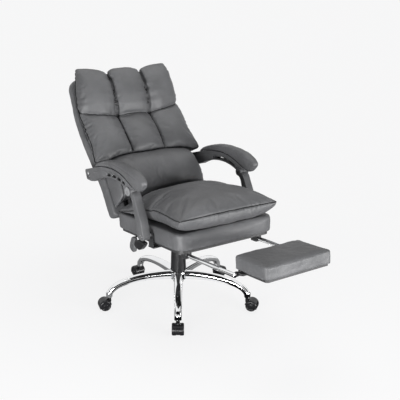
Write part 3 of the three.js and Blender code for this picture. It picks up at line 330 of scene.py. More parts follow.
def tube(line, radius, sides=10):
    """Points and faces of a round bead along a line."""
    line = np.asarray(line, float)
    line = line[np.append(True, np.linalg.norm(np.diff(line, axis=0), axis=1) > 0.3)]
    tangents = np.gradient(line, axis=0)
    turning_back = np.linalg.norm(tangents, axis=1) < 0.05
    tangents[turning_back] = np.append(np.diff(line, axis=0), [line[-1] - line[-2]], axis=0)[turning_back]
    tangents /= np.linalg.norm(tangents, axis=1)[:, None]
    side = np.cross(tangents[0], (0.3, 0.2, 0.93))
    rings = []
    for point, tangent in zip(line, tangents):
        side = side - tangent * (side @ tangent)
        side /= np.linalg.norm(side)
        rise = np.cross(tangent, side)
        turns = np.arange(sides)[:, None] * 2 * np.pi / sides
        rings.append(point + radius * (np.cos(turns) * side + np.sin(turns) * rise))
    return skin(rings)


def plate(name, outline, low, high, bevel, place, paint, holes=()):
    """A flat piece cut from an outline and its holes, between two depths, with rounded rims."""
    curve = bpy.data.curves.new(name, "CURVE")
    curve.dimensions = "2D"
    curve.fill_mode = "BOTH"
    curve.extrude = (high - low) / 2 - bevel
    curve.bevel_depth = bevel
    curve.bevel_resolution = 2
    curve.offset = -bevel
    for loop in (outline, *holes):
        spline = curve.splines.new("POLY")
        spline.points.add(len(loop) - 1)
        for point, (a, b) in zip(spline.points, loop):
            point.co = (a, b, 0, 1)
        spline.use_cyclic_u = True
    carrier = bpy.data.objects.new(name, curve)
    scene.collection.objects.link(carrier)
    depsgraph = bpy.context.evaluated_depsgraph_get()
    mesh = bpy.data.meshes.new_from_object(carrier.evaluated_get(depsgraph))
    bpy.data.objects.remove(carrier)
    points = coordinates(mesh) + (0, 0, (low + high) / 2)
    faces = [tuple(p.vertices) for p in mesh.polygons]
    bpy.data.meshes.remove(mesh)
    return make(name, points, faces, place, paint, sharp=50)


def side_plate(name, outline, inner, outer, sign, bevel, paint, place=CHAIR, holes=()):
    low, high = sorted((sign * inner, sign * outer))
    return plate(name, outline, low, high, bevel, place @ SIDEWAYS, paint, holes)


def disc(name, profile, sign, x, spot, paint):
    """A turned piece whose axis points outwards along X, with its foot at x."""
    turn = Matrix.Translation((x, *spot)) @ Matrix.Rotation(sign * math.pi / 2, 4, "Y")
    return make(name, *lathe(profile, 40), CHAIR @ turn, paint)


# Soft pieces
def bake(piece):
    depsgraph = bpy.context.evaluated_depsgraph_get()
    mesh = bpy.data.meshes.new_from_object(piece.evaluated_get(depsgraph), depsgraph=depsgraph)
    piece.modifiers.clear()
    piece.data = mesh
    mesh.shade_smooth()


def remesh(piece, voxel):
    modifier = piece.modifiers.new("even", "REMESH")
    modifier.mode = "VOXEL"
    modifier.voxel_size = voxel * MM
    bake(piece)


def inflate(piece, place, pinned, cap, pressure=4.0, slack=0.0, frames=16):
    """Lets the piece swell as cloth, with no point moving further than cap.
    pinned takes local points and says from 0 to 1 how firmly each is held."""
    rest = coordinates(piece.data)
    group = piece.vertex_groups.new(name="pinned")
    for level in range(1, 11):
        held = np.round(np.clip(pinned(local(rest, place)), 0, 1) * 10) == level
        group.add(np.nonzero(held)[0].tolist(), level / 10, "REPLACE")
    cloth = piece.modifiers.new("cloth", "CLOTH")
    cloth.settings.quality = 4
    cloth.settings.use_pressure = True
    cloth.settings.uniform_pressure_force = pressure
    cloth.settings.vertex_group_mass = "pinned"
    cloth.settings.shrink_min = -slack
    cloth.settings.effector_weights.gravity = 0
    cloth.point_cache.frame_start, cloth.point_cache.frame_end = 1, frames
    for number in range(1, frames + 1):
        scene.frame_set(number)
    depsgraph = bpy.context.evaluated_depsgraph_get()
    swollen = coordinates(piece.evaluated_get(depsgraph).data)
    piece.modifiers.clear()
    piece.vertex_groups.clear()
    scene.frame_set(1)
    move = swollen - rest
    length = np.linalg.norm(move, axis=1)[:, None]
    set_coordinates(piece.data, rest + move * np.minimum(1, cap * MM / np.maximum(length, 1e-9)))


def refine(piece):
    modifier = piece.modifiers.new("fine", "SUBSURF")
    modifier.levels = modifier.render_levels = 1
    bake(piece)


def reshape(piece, place, change):
    """Moves a piece's points: change takes local points and normals and gives the new points."""
    mesh = piece.data
    points = local(coordinates(mesh), place)
    turn = np.array(place.to_3x3().normalized())
    normals = coordinates(mesh, "normal") @ turn
    set_coordinates(mesh, world(change(points, normals), place))


def upholster(piece, place, voxel, pinned, dress, cap, **swelling):
    """Evens out a cover's mesh, lets it swell and works its seams in."""
    remesh(piece, voxel)
    inflate(piece, place, pinned, cap, **swelling)
    refine(piece)
    reshape(piece, place, dress)


def nearest(points, line, step=1.5):
    """How far each point is from the line, and how far along the line its nearest place is."""
    line = evenly(line, step)
    tree = KDTree(len(line))
    for i, point in enumerate(line):
        tree.insert(point, i)
    tree.balance()
    found = [tree.find(point)[1:] for point in points]
    return np.array([d for _, d in found]), np.array([i for i, _ in found]) * step


def wave(s, pitch, seed):
    """An uneven ripple along a seam, between about -1 and 1."""
    s = np.asarray(s) / pitch
    drift = 0.9 * np.sin(0.37 * s + seed) + 0.6 * np.sin(0.83 * s + 2.3 * seed)
    coarse = 0.6 * np.sin(2 * np.pi * s + drift * 2 + seed)
    fine = 0.4 * np.sin(2 * np.pi * 0.618 * s - drift + 3 * seed)
    return (coarse + fine) * (0.55 + 0.45 * np.sin(0.9 * s + 1.7 * seed))


def lumps(points, scale, seed):
    """Slow unevenness over a surface, between about -1 and 1."""
    offset = Vector((seed * 7.3, seed * 3.1, seed * 5.7))
    return np.array([noise.noise(Vector(p) / scale + offset) for p in points]) * 2


def uneven(points, normals, *layers, share=1):
    """Raises and lowers a surface by layers of (height, scale, seed)."""
    rise = sum(height * lumps(points, scale, seed) for height, scale, seed in layers)
    return points + normals * (share * rise)[:, None]


def seamed(points, normals, line, depth, width, pull, pitch, reach, seed):
    """Sinks a seam into a padded surface and gathers the cover beside it.
    depth and width belong to the sink, and pull (the height), pitch and reach to the gathers."""
    distance, along = nearest(points, line)
    sink = depth * np.exp(-(distance / width) ** 2)
    gather = pull * wave(along, pitch, seed) * np.exp(-distance / reach)
    return points + normals * (gather - sink)[:, None]


def fanned(points, normals, distance, ripple, reach, near):
    """Adds folds that fan out from a gathered corner, start near it and fade over the reach."""
    fold = ripple * np.exp(-(distance / reach) ** 2) * smooth(4, near, distance)
    return points + normals * fold[:, None]


def painted_seam_shade(piece, place, *lines):
    """Stores how deep in a seam each point lies, from 0 to 1, as painted shade, which the leather reads as
    darkening and lost sheen down seams and contact lines.
    Each line comes with a half width and a strength."""
    points = local(coordinates(piece.data), place)
    depth = np.zeros(len(points))
    for line, width, strength in lines:
        distance = nearest(points, line)[0]
        depth = np.maximum(depth, strength * np.exp(-(distance / width) ** 2))
    # The stored seam value is painted shade for the leather.
    piece.data.attributes.new("seam", "FLOAT", "POINT").data.foreach_set("value", depth.astype(np.float32))


def on_surface(line, piece, place, lift):
    """The line laid on the piece's surface, raised along its normals."""
    mesh = piece.data
    faces = [tuple(p.vertices) for p in mesh.polygons]
    tree = BVHTree.FromPolygons([tuple(p) for p in coordinates(mesh)], faces)
    out = []
    for point in world(line, place):
        spot, normal, _, _ = tree.find_nearest(Vector(point))
        out.append(spot + normal * lift * MM)
    return local(np.array(out), place)


def piped(name, line, piece, place, lift, radius, body, step=3):
    """A bead of piping along a line laid on the piece; its near-black colour is painted shade for the groove
    or edge it follows.
    """
    edge = on_surface(evenly(line, step), piece, place, lift)
    placed(make(name, *tube(edge, radius), place, piping), body, "leather")


def boolean(piece, cutter, operation="DIFFERENCE", sharp=40):
    modifier = piece.modifiers.new("cut", "BOOLEAN")
    modifier.operation = operation
    modifier.solver = "EXACT"
    modifier.object = cutter
    bake(piece)
    piece.data.set_sharp_from_angle(angle=math.radians(sharp))
    bpy.data.objects.remove(cutter)


def soft(piece, body, node):
    placed(piece, body, "leather", node)


# Materials
NEAR_BLACK = (0.006, 0.006, 0.007)
MATT_BLACK = (0.012, 0.012, 0.013)


class Nodes:
    """A node tree under construction."""

    def __init__(self, tree):
        self.nodes, self.links = tree.nodes, tree.links

    def feed(self, socket, value):
        """Links the socket to another one, or sets it to a number, a vector or a colour."""
        if isinstance(value, bpy.types.NodeSocket):
            self.links.new(value, socket)
        else:
            socket.default_value = (*value, 1) if socket.type == "RGBA" else value

    def add(self, kind, inputs, **settings):
        """Adds a node with these inputs and settings, and gives its outputs."""
        node = self.nodes.new(kind)
        for key, value in settings.items():
            setattr(node, key, value)
        for key, value in inputs.items():
            self.feed(node.inputs[key], value)
        return node.outputs


class Paint(Nodes):
    """A material under construction."""

    def __init__(self, name):
        self.material = bpy.data.materials.new(name)
        self.material.use_nodes = True
        super().__init__(self.material.node_tree)
        self.shader = self.nodes["Principled BSDF"]
        self.place = self.add("ShaderNodeTexCoord", {})["Object"]

    def stretched(self, scale):
        return self.add("ShaderNodeMapping", {"Vector": self.place, "Scale": scale})[0]

    def noise(self, scale, detail, source=None):
        inputs = {"Vector": source or self.place, "Scale": scale, "Detail": detail}
        return self.add("ShaderNodeTexNoise", inputs)[0]

    def cells(self, scale):
        inputs = {"Vector": self.place, "Scale": scale}
        return self.add("ShaderNodeTexVoronoi", inputs, feature="DISTANCE_TO_EDGE")["Distance"]

    def span(self, value, low, high, to_low, to_high):
        inputs = {"Value": value, "From Min": low, "From Max": high, "To Min": to_low, "To Max": to_high}
        return self.add("ShaderNodeMapRange", inputs)["Result"]

    def blend(self, share, a, b):
        inputs = {"Factor": share, "A": a, "B": b}
        return self.add("ShaderNodeMix", inputs, data_type="RGBA")["Result"]

    def stored(self, name):
        return self.add("ShaderNodeAttribute", {}, attribute_name=name)["Fac"]

    def worn_edge(self, low, high):
        """1 along raised edges and 0 elsewhere."""
        return self.span(self.add("ShaderNodeNewGeometry", {})["Pointiness"], low, high, 0, 1)

    def mottle(self, scale, high=0.65):
        """Slow patches of 0 and 1."""
        return self.span(self.noise(scale, 4), 0.35, high, 0, 1)

    def bump(self, *layers):
        """Adds layers of (height, distance, strength) to the surface."""
        normal = {}
        for height, distance, strength in layers:
            inputs = {"Height": height, "Distance": distance, "Strength": strength, **normal}
            normal = {"Normal": self.add("ShaderNodeBump", inputs)["Normal"]}
        self.feed(self.shader.inputs["Normal"], normal["Normal"])

    def set(self, **values):
        """Sets the shader's sockets: spaces in their names are written as underscores."""
        for key, value in values.items():
            self.feed(self.shader.inputs[key.replace("_", " ")], value)


def leather_paint(name, shade=1.0, grain=1.0, gloss=1.0):
    """Grained leather, rubbed pale along its raised edges, with painted shade down its seams, where the
    stored seam value darkens it to near black and dulls its sheen. A shade below 1 darkens it all over.
    """
    paint = Paint(name)
    dark, light, rubbed = (tuple(shade * c for c in colour) for colour in (
        (0.069, 0.07, 0.073), (0.091, 0.092, 0.096), (0.16, 0.161, 0.166)))
    base = paint.blend(paint.mottle(9), dark, light)
    worn = paint.blend(paint.worn_edge(0.53, 0.6), base, rubbed)
    fine = paint.noise(260, 2)
    # Painted shade: a high seam value blends the colour to near black and takes the specular level down.
    seam = paint.stored("seam")
    paint.set(Base_Color=paint.blend(seam, worn, NEAR_BLACK),
              Roughness=paint.span(fine, 0.3, 0.7, 0.47, 0.6),
              Specular_IOR_Level=paint.span(seam, 0, 1, 0.42 * gloss, 0.03),
              Coat_Weight=0.05 * gloss, Coat_Roughness=0.3)
    paint.bump((paint.noise(42, 4), 0.0009, 0.35 * grain), (paint.cells(520), 0.0003, 0.5 * grain),
               (fine, 0.0004, 0.25 * grain))
    return paint.material


def plastic_paint(name, dark, light, low, high, strength=0.25):
    """A moulded plastic with a fine spark-eroded texture and scuffs along its edges."""
    paint = Paint(name)
    base = paint.blend(paint.mottle(14), dark, light)
    scuffed = paint.blend(paint.worn_edge(0.54, 0.66), base, tuple(min(1.5 * c + 0.02, 1) for c in light))
    paint.set(Base_Color=scuffed, Roughness=paint.span(paint.noise(60, 3), 0.3, 0.7, low, high),
              Specular_IOR_Level=0.3)
    paint.bump((paint.noise(300, 2), 0.0003, strength))
    return paint.material


def metal_paint(name, dark, light, low, high, brush=None):
    """A metal with a little grime, roughness from low to high, and brush marks along one axis."""
    paint = Paint(name)
    paint.set(Base_Color=paint.blend(paint.mottle(11, 0.7), light, dark), Metallic=1.0,
              Roughness=paint.span(paint.noise(35, 3), 0.3, 0.7, low, high))
    source = paint.stretched(brush) if brush else None
    paint.bump((paint.noise(220, 2, source), 0.0002, 0.3 if brush else 0.05))
    return paint.material


def wrapped_paint():
    """A board wrapped in the cover leather, coloured far darker than the leather as painted shade for the
    gaps under the pads, with black backing cloth stapled under it.
    """
    paint = Paint("wrapped_board_painted_shade")
    normal = paint.add("ShaderNodeTexCoord", {})["Normal"]
    split = paint.add("ShaderNodeSeparateXYZ", {0: normal})
    beneath = paint.span(split["Z"], -0.6, -0.8, 0, 1)
    # Painted shade: the cover colour is far darker than the leather, so the boards' rims read as shadowed
    # gaps.
    cover = paint.blend(paint.noise(9, 4), (0.02, 0.02, 0.021), (0.03, 0.03, 0.031))
    paint.set(Base_Color=paint.blend(beneath, cover, MATT_BLACK),
              Roughness=paint.span(beneath, 0, 1, 0.5, 0.9))
    paint.bump((paint.noise(40, 4), 0.0008, 0.3), (paint.cells(900), 0.0003, 0.5))
    return paint.material


leather = leather_paint("leather")
# The piping leather is painted near black and dull, as painted shade for the grooves and edges its beads lie
# in.
piping = leather_paint("leather_piping_painted_shade", 0.1, 0.4, 0.25)
chrome = metal_paint("chrome", (0.86, 0.87, 0.88), (0.93, 0.935, 0.94), 0.03, 0.08)
steel = metal_paint("dark_steel", (0.1, 0.1, 0.105), (0.16, 0.16, 0.165), 0.3, 0.45, (1, 14, 14))
bright_steel = metal_paint("bright_steel", (0.45, 0.45, 0.46), (0.6, 0.6, 0.61), 0.2, 0.34, (1, 10, 10))
black = plastic_paint("black_plastic", NEAR_BLACK, (0.012, 0.012, 0.013), 0.32, 0.46)
grey = plastic_paint("grey_plastic", (0.075, 0.076, 0.079), (0.095, 0.096, 0.1), 0.4, 0.52)
glossy_black = plastic_paint("glossy_black_plastic", NEAR_BLACK, (0.011, 0.011, 0.012), 0.2, 0.3, 0.08)
dark_grey = plastic_paint("dark_grey_plastic", (0.022, 0.022, 0.024), (0.034, 0.034, 0.036), 0.35, 0.5)
pale_grey = plastic_paint("pale_grey_plastic", (0.16, 0.162, 0.167), (0.2, 0.202, 0.207), 0.35, 0.48)
wrapped = wrapped_paint()


# Seat cushion
def cushion_seam(y):
    """The height of the seam round the cushion."""
    ahead = mix(SEAM_FRONT, SEAM_MIDDLE, smooth(CUSHION_FRONT, SEAM_PEAK_Y, y))
    behind = mix(SEAM_MIDDLE, SEAM_REAR, (y - SEAM_PEAK_Y) / (CUSHION_REAR - SEAM_PEAK_Y))
    return np.where(y < SEAM_PEAK_Y, ahead, behind)


def cushion_place(u, v):
    """x and y, with the share of the way out to the side and the distance from the front."""
    along = crowded(v)
    across = np.sin(np.pi * u / 2)
    behind = (CUSHION_REAR - CUSHION_FRONT) * along
    y = CUSHION_FRONT + behind + CUSHION_BOW * (1 - across ** 2) * (1 - v) ** 6
    x = across * (CUSHION_HALF_WIDTH - CUSHION_BOW * np.sin(np.pi * along))
    return x, y, across, behind


def cushion_face(u, v, full=1.0):
    """The top, with a crown in front of the ledge that the backrest stands over."""
    x, y, across, behind = cushion_place(u, v)
    rise = puff(1 - np.minimum(behind / CROWN_REACH, 1))
    crown = mix(SEAM_FRONT, CUSHION_CROWN - CUSHION_SLACK * (1 - full), rise)
    ledge = mix(CUSHION_LEDGE, SEAM_REAR + 2, smooth(82, CUSHION_REAR, y))
    middle = mix(crown, ledge, smooth(-25, 40, y))
    height = np.maximum(middle - cushion_seam(y), 0) + 1.5
    return np.stack([x, y, cushion_seam(y) + height * puff(across)], -1)


def cushion_under(u, v, full=0.95):
    """The underside, which rests on the seat base and rounds up to the seam."""
    x, y, across, _ = cushion_place(u, v)
    floor = PAD_TOP + 0.3
    inset = np.minimum(np.minimum((y - CUSHION_FRONT) / 75, (CUSHION_REAR - y) / 30), 1)
    round_rim = puff(across ** 2) * puff(1 - inset) * full
    drop = (cushion_seam(y) - floor) * 1.12 * round_rim + 1.5 * puff(across)
    return np.stack([x, y, np.maximum(cushion_seam(y) - drop, floor)], -1)


def seat_cushion():
    form = sheets(lambda u, v: cushion_face(u, v, 0.4), cushion_under, 44, 40)
    piece = make("seat_cushion_cover", *form, SEAT, leather)
    right, left = [cushion_face(np.full(60, s), np.linspace(0, 1, 60)) for s in (-1.0, 1.0)]
    front = cushion_face(np.linspace(-1, 1, 60), np.zeros(60))
    rim = np.vstack([right[::-1], front, left])
    crease = np.array([(-247, -168, 160), (-215, -156, 190), (-160, -150, 200), (-60, -158, 206),
                       (60, -168, 206), (130, -176, 203), (180, -182, 196)], float)
    near_tick = np.array([(-249, -12, 143), (-238, -14, 160), (-222, -16, 176)], float)

    def pinned(points):
        held = (nearest(points, rim)[0] < 5) | (points[:, 2] < PAD_TOP + 6)
        return np.maximum(held.astype(float), smooth(20, 60, points[:, 1]) * 0.9)

    def dress(points, normals):
        points = uneven(points, normals, (2.0, 85, 1), (0.6, 30, 2))
        points = seamed(points, normals, rim, 3.0, 4.5, 1.3, 26, 15, 1.3)
        for sign, seed in ((-1, 2.1), (1, 4.2)):
            offset = points - (sign * (CUSHION_HALF_WIDTH - 3), CUSHION_FRONT + 6, SEAM_FRONT)
            distance = np.linalg.norm(offset, axis=1)
            turn = np.arctan2(offset[:, 2] - 2, np.hypot(offset[:, 0], offset[:, 1]))
            points = fanned(points, normals, distance, np.sin(7 * turn + seed) * 1.8, 60, 25)
        points = seamed(points, normals, crease, 7.5, 11, 1.2, 40, 25, 3.1)
        return seamed(points, normals, near_tick, 3.0, 4.5, 1.0, 14, 12, 0.4)

    upholster(piece, SEAT, 6.5, pinned, dress, 22, slack=0.006)
    # Painted shade down the seam, the front crease and the side tick.
    painted_seam_shade(piece, SEAT, (rim, 4.0, 0.6), (crease, 7.0, 0.35), (near_tick, 3.0, 0.8))
    soft(piece, "seat", "seat_cushion")
    # Near-black piping along the seam, as painted shade.
    piped("seat_cushion_seam", rim, piece, SEAT, 0.6, 1.7, "seat", 4)


# Rounded boxes
def rounded_rectangle(half, y0, y1, radius, steps=10, straight=10):
    """A closed outline that reaches half its width to either side of the middle."""
    corners = ((half - radius, y0 + radius, -90), (half - radius, y1 - radius, 0),
               (radius - half, y1 - radius, 90), (radius - half, y0 + radius, 180))
    arcs = []
    for cx, cy, start in corners:
        turns = np.radians(start + np.linspace(0, 90, steps + 1))
        arcs.append(np.column_stack([cx + radius * np.cos(turns), cy + radius * np.sin(turns)]))
    loop = []
    for arc, following in zip(arcs, arcs[1:] + arcs[:1]):
        loop += [arc, np.linspace(arc[-1], following[0], straight + 1)[1:-1]]
    return np.vstack(loop)


def level_ring(half, y0, y1, radius, z):
    loop = rounded_rectangle(half, y0, y1, radius)
    return np.column_stack([loop, np.full(len(loop), float(z))])


def cushioned_box(half, y0, y1, z0, z1, corner, top_rim, bottom_rim):
    """Points and faces of a box with rounded upright corners and rims."""
    turns = np.linspace(0, np.pi / 2, 7)
    rings = []
    for rim, base, sign, order in ((bottom_rim, z0, 1, turns), (top_rim, z1, -1, turns[::-1])):
        for t in order:
            inset = rim * (1 - math.sin(t))
            z = base + sign * rim * (1 - math.cos(t))
            rings.append(level_ring(half - inset, y0 + inset, y1 - inset, max(corner - inset, 4), z))
    return skin(rings)


def seat_base_pad():
    form = cushioned_box(PAD_HALF_WIDTH - 2, PAD_FRONT + 2, PAD_REAR - 2, PAD_BOTTOM, PAD_TOP - 0.5,
                         PAD_CORNER - 2, 13, 6)
    piece = make("seat_base_cover", *form, SEAT, leather)
    low_rim = level_ring(PAD_HALF_WIDTH, PAD_FRONT, PAD_REAR, PAD_CORNER, PAD_BOTTOM + 7)

    def pinned(points):
        z = points[:, 2]
        return np.where((z > PAD_TOP - 5) | (z < PAD_BOTTOM + 5) | (points[:, 1] > PAD_REAR - 40), 1.0, 0.0)

    def dress(points, normals):
        outward = 1 - np.abs(normals[:, 2])
        points = uneven(points, normals, (1.3, 80, 5), (0.5, 22, 6), share=outward)
        return seamed(points, normals, low_rim, 1.6, 3.0, 0.9, 24, 16, 2.2)

    upholster(piece, SEAT, 7.5, pinned, dress, 4, pressure=3, frames=10)
    soft(piece, "seat", "seat_base_pad")


def footrest_pad():
    form = cushioned_box(FOOTREST_HALF_WIDTH - 1.5, FOOTREST_FRONT + 1.5, FOOTREST_REAR - 1.5,
                         FOOTREST_BOTTOM + 0.4, FOOTREST_TOP - 4, 13, 5, 3)
    piece = make("footrest_cover", *form, SEAT, leather)
    rim = level_ring(FOOTREST_HALF_WIDTH, FOOTREST_FRONT, FOOTREST_REAR, 18, FOOTREST_TOP - 6)

    def pinned(points):
        z = points[:, 2]
        return np.where(z < FOOTREST_BOTTOM + 4, 1.0, np.where(z < FOOTREST_TOP - 12, 0.5, 0.0))

    def dress(points, normals):
        points = uneven(points, normals, (0.9, 55, 8), (0.4, 18, 9))
        return seamed(points, normals, rim, 1.2, 3.0, 0.7, 20, 14, 5.0)

    upholster(piece, SEAT, 4, pinned, dress, 6, pressure=3.5, frames=12)
    soft(piece, "footrest_flip", "footrest_pad")


# Backrest
def shell_front(up):
    share = np.clip((up - SHELL_TAPER_BOTTOM) / (SHELL_TAPER_TOP - SHELL_TAPER_BOTTOM), 0, 1)
    return mix(SHELL_DEPTH, SHELL_DEPTH_TOP, share)


def shell_half(up):
    return mix(SHELL_HALF_BOTTOM, SHELL_HALF_TOP, smooth(80, 420, up)) - 10 * smooth(480, SHELL_TOP, up)


def back_shell():
    top_centre = SHELL_TOP - SHELL_CORNER_TOP
    top_half = float(shell_half(top_centre))
    low = SHELL_BOTTOM + SHELL_CORNER_BOTTOM * (1 - np.cos(np.linspace(0, np.pi / 2, 8)))
    body = np.linspace(SHELL_BOTTOM + SHELL_CORNER_BOTTOM, top_centre, 60)[1:-1]
    high = top_centre + SHELL_CORNER_TOP * np.sin(np.linspace(0, np.pi / 2, 18))
    rings = []
    for up in np.concatenate([low, body, high]):
        if up > top_centre:
            half = top_half - SHELL_CORNER_TOP + quarter(SHELL_CORNER_TOP, up - top_centre)
        else:
            drop = max(SHELL_BOTTOM + SHELL_CORNER_BOTTOM - up, 0)
            half = float(shell_half(up)) - SHELL_CORNER_BOTTOM + quarter(SHELL_CORNER_BOTTOM, drop)
        end = min(up - SHELL_BOTTOM, SHELL_TOP - up)
        inset = SHELL_RIM - quarter(SHELL_RIM, max(SHELL_RIM - end, 0))
        front = float(shell_front(up)) - inset
        radius = min(SHELL_RIM, (front - inset) / 2 - 0.5)
        loop = rounded_rectangle(half, inset, front, radius, 6, 40)
        rings.append(back_points(loop[:, 0], loop[:, 1], up))
    piece = make("back_shell_cover", *skin(rings), BACK, leather)
    seam_up = np.linspace(SHELL_BOTTOM + 25, top_centre, 80)
    seam_half = shell_half(seam_up) - SHELL_PANEL_INSET
    right, left = [back_points(sign * seam_half, 0, seam_up) for sign in (-1, 1)]
    over = back_points(np.linspace(-1, 1, 40) * (top_half - SHELL_PANEL_INSET), 0,
                       np.full(40, top_centre + 22.0))
    panel_seam = np.vstack([right, over, left[::-1]])
    middle_seam = back_points(np.linspace(-1, 1, 60) * 215, 0, np.full(60, 250.0))

    def dress(points, normals):
        outward = np.maximum(normals[:, 1], 0)
        points = uneven(points, normals, (outward * 2.5, 120, 11), (0.6, 30, 12))
        points = seamed(points, normals, panel_seam, 2.2, 3.2, 1.1, 24, 18, 1.9)
        return seamed(points, normals, middle_seam, 2.0, 3.2, 1.0, 26, 18, 0.7)

    reshape(piece, BACK, dress)
    # Painted shade down the panel seam and the middle seam.
    painted_seam_shade(piece, BACK, (panel_seam, 3.0, 0.7), (middle_seam, 3.0, 0.7))
    # Room for the hinge plates and for the bars above them.
    for sign in (1, -1):
        for x0, x1, z0, z1 in ((148, 184, -60, 64), (168.7, 175.3, 40, 215.3)):
            low_x, high_x = sorted((sign * x0, sign * x1))
            outline = [(low_x, z0), (high_x, z0), (high_x, z1), (low_x, z1)]
            boolean(piece, plate("cutter", outline, -70, -12.5, 0.4, BACK @ UPRIGHT, leather))
    soft(piece, "back", "back_shell")


def shoulder_fall(x):
    """How far the seam between the lumbar cushion and the back pad falls towards the sides."""
    return LUMBAR_SHOULDER * np.minimum(np.abs(x) / LUMBAR_HALF_WIDTH, 1) ** 4


def hanging(u):
    """How much of its hang the lumbar cushion's bottom has, a share of the way out from the middle."""
    return smooth(0.7, 1, np.abs(u))


def lumbar_rings(full):
    rear = SHELL_DEPTH + 0.3

    def front(share):
        fall = (LUMBAR_FRONT - LUMBAR_TOP_FORWARD) * smooth(0.4, 1.15, share) / smooth(0.4, 1.15, 1)
        belly = LUMBAR_FRONT - LUMBAR_SLACK * (1 - full)
        return mix(LUMBAR_TOE, belly, math.sin(np.pi / 2 * min(share * 2, 1))) - fall

    def under(forward, hang):
        behind = LUMBAR_BOTTOM_REAR - LUMBAR_HANG_REAR * hang
        ahead = LUMBAR_BOTTOM_FRONT - LUMBAR_HANG_FRONT * hang
        return mix(behind, ahead, (forward - rear) / (LUMBAR_TOE - rear))

    rings = []
    for i in range(41):
        u = math.sin(np.pi * (i / 40 - 0.5))
        fullness = max(float(puff(abs(u) ** 3.2 * 0.99)), 0.4)
        hang = float(hanging(u))
        x = u * LUMBAR_HALF_WIDTH
        peak = LUMBAR_TOP - float(shoulder_fall(x))
        foot = mix(rear, LUMBAR_TOE, fullness)
        ring = [(x, forward, under(forward, hang)) for forward in np.linspace(rear, foot, 9)[:-1]]
        toe = under(foot, hang)
        for k in range(21):
            ring.append((x, mix(rear, front(k / 20), fullness), mix(toe, peak, float(crowded(k / 20)))))
        top = mix(rear, front(1), fullness)
        ring += [(x, forward, peak) for forward in np.linspace(top, rear, 7)[1:]]
        ring += [(x, rear, up) for up in np.linspace(peak, under(rear, hang), 10)[1:-1]]
        rings.append(back_points(*np.array(ring).T))
    return np.array(rings)


def lumbar_cushion():
    piece = make("lumbar_cover", *skin(lumbar_rings(0.6)), BACK, leather)
    rings = lumbar_rings(1.0)
    ends = [rings[5, 6:30], rings[-6, 6:30]]
    top_seam = rings[:, 29]

    def pinned(points):
        forward, up = -points[:, 1], points[:, 2]
        top = LUMBAR_TOP - shoulder_fall(points[:, 0])
        bottom = LUMBAR_BOTTOM_REAR - LUMBAR_HANG_REAR * hanging(points[:, 0] / LUMBAR_HALF_WIDTH)
        resting = (forward < SHELL_DEPTH + 9) | (up > top - 9) | (up < bottom + 18)
        return np.where(resting, 1.0, 0.0)

    def dress(points, normals):
        points = uneven(points, normals, (1.6, 70, 15), (0.5, 28, 16))
        for line, seed in zip(ends, (1.0, 2.7)):
            points = seamed(points, normals, line, 2.6, 4.0, 1.6, 22, 20, seed)
        return points

    upholster(piece, BACK, 6, pinned, dress, 14, slack=0.004)
    # Painted shade down the end seams, and a painted contact shadow along the top seam under the back pad.
    painted_seam_shade(piece, BACK, *((line, 3.5, 0.7) for line in ends), (top_seam, 7.0, 0.85))
    soft(piece, "back", "lumbar_cushion")
    # Near-black piping along the end seams, as painted shade.
    for side, line in zip(("right", "left"), ends):
        piped(f"lumbar_seam_{side}", line, piece, BACK, 0.2, 1.3, "back")


def pad_outer(u):
    """0 in the middle cells, and up to 1 across the outer ones."""
    return np.maximum((np.abs(u) - CELL_EDGE) / (1 - CELL_EDGE), 0)


def pad_cell(u):
    """From -1 to 1 across each cell."""
    return np.where(np.abs(u) < CELL_EDGE, u / CELL_EDGE, 2 * pad_outer(u) - 1)


def pad_place(u, v):
    """x and up, with whether they lie in the upper row and the share of the way up the row."""
    upper = v >= 0.5
    w = crowded(np.where(upper, 2 * v - 1, 2 * v))
    low, middle, high = BACK_PAD_HALF
    half = np.where(upper, mix(middle, high, w ** 1.5), mix(low, middle, smooth(0, 0.4, w)))
    x = np.sign(u) * (BACK_PAD_SEPARATOR * np.minimum(np.abs(u) / CELL_EDGE, 1)
                      + (half - BACK_PAD_SEPARATOR) * np.sin(np.pi / 2 * pad_outer(u)))
    bottom = BACK_PAD_BOTTOM - shoulder_fall(x) + BACK_PAD_LIFT * smooth(0.85, 1, np.abs(u))
    split = BACK_PAD_SPLIT + BACK_PAD_SPLIT_RISE * np.abs(u) ** 3
    cell = np.clip(np.abs(pad_cell(u)), 0, 1)
    lobe = BACK_PAD_LOBE * (1 - cell ** 2) ** 0.6 - 5 * cell ** 6
    top = BACK_PAD_TOP + lobe + BACK_PAD_CORNER * smooth(CELL_EDGE, 1, np.abs(u)) - 16 * smooth(0.86, 1, u)
    return x, np.where(upper, mix(split, top, w), mix(bottom, split, w)), upper, w


def pad_edge(upper, w):
    """How far forward the pad's outer edge lies."""
    low, middle, high = BACK_PAD_EDGE
    return np.where(upper, mix(middle, high, w), mix(low, middle, w))


def pad_face(u, v, full=1.0):
    x, up, upper, w = pad_place(u, v)
    low, middle, high = BACK_PAD_GROOVE
    groove = np.where(upper, mix(middle, high, w) + GROOVE_BOW * 4 * w * (1 - w), mix(low, middle, w ** 1.1))
    swell = np.where(upper, SWELL_UPPER, SWELL_LOWER) * full * puff(2 * w - 1) * puff(pad_cell(u) * 0.99)
    outer = pad_outer(u)
    forward = mix(groove, pad_edge(upper, w), outer ** 3) + swell * (1 - outer ** 8)
    return back_points(x, forward, up)


def pad_rear(u, v):
    x, up, upper, w = pad_place(u, v)
    resting = shell_front(up) + 0.3
    lift = np.where(upper, (BACK_PAD_REAR_TOP - resting) * smooth(0.25, 1, w), 0)
    return back_points(x, mix(resting + lift, pad_edge(upper, w), pad_outer(u) ** 6), up)


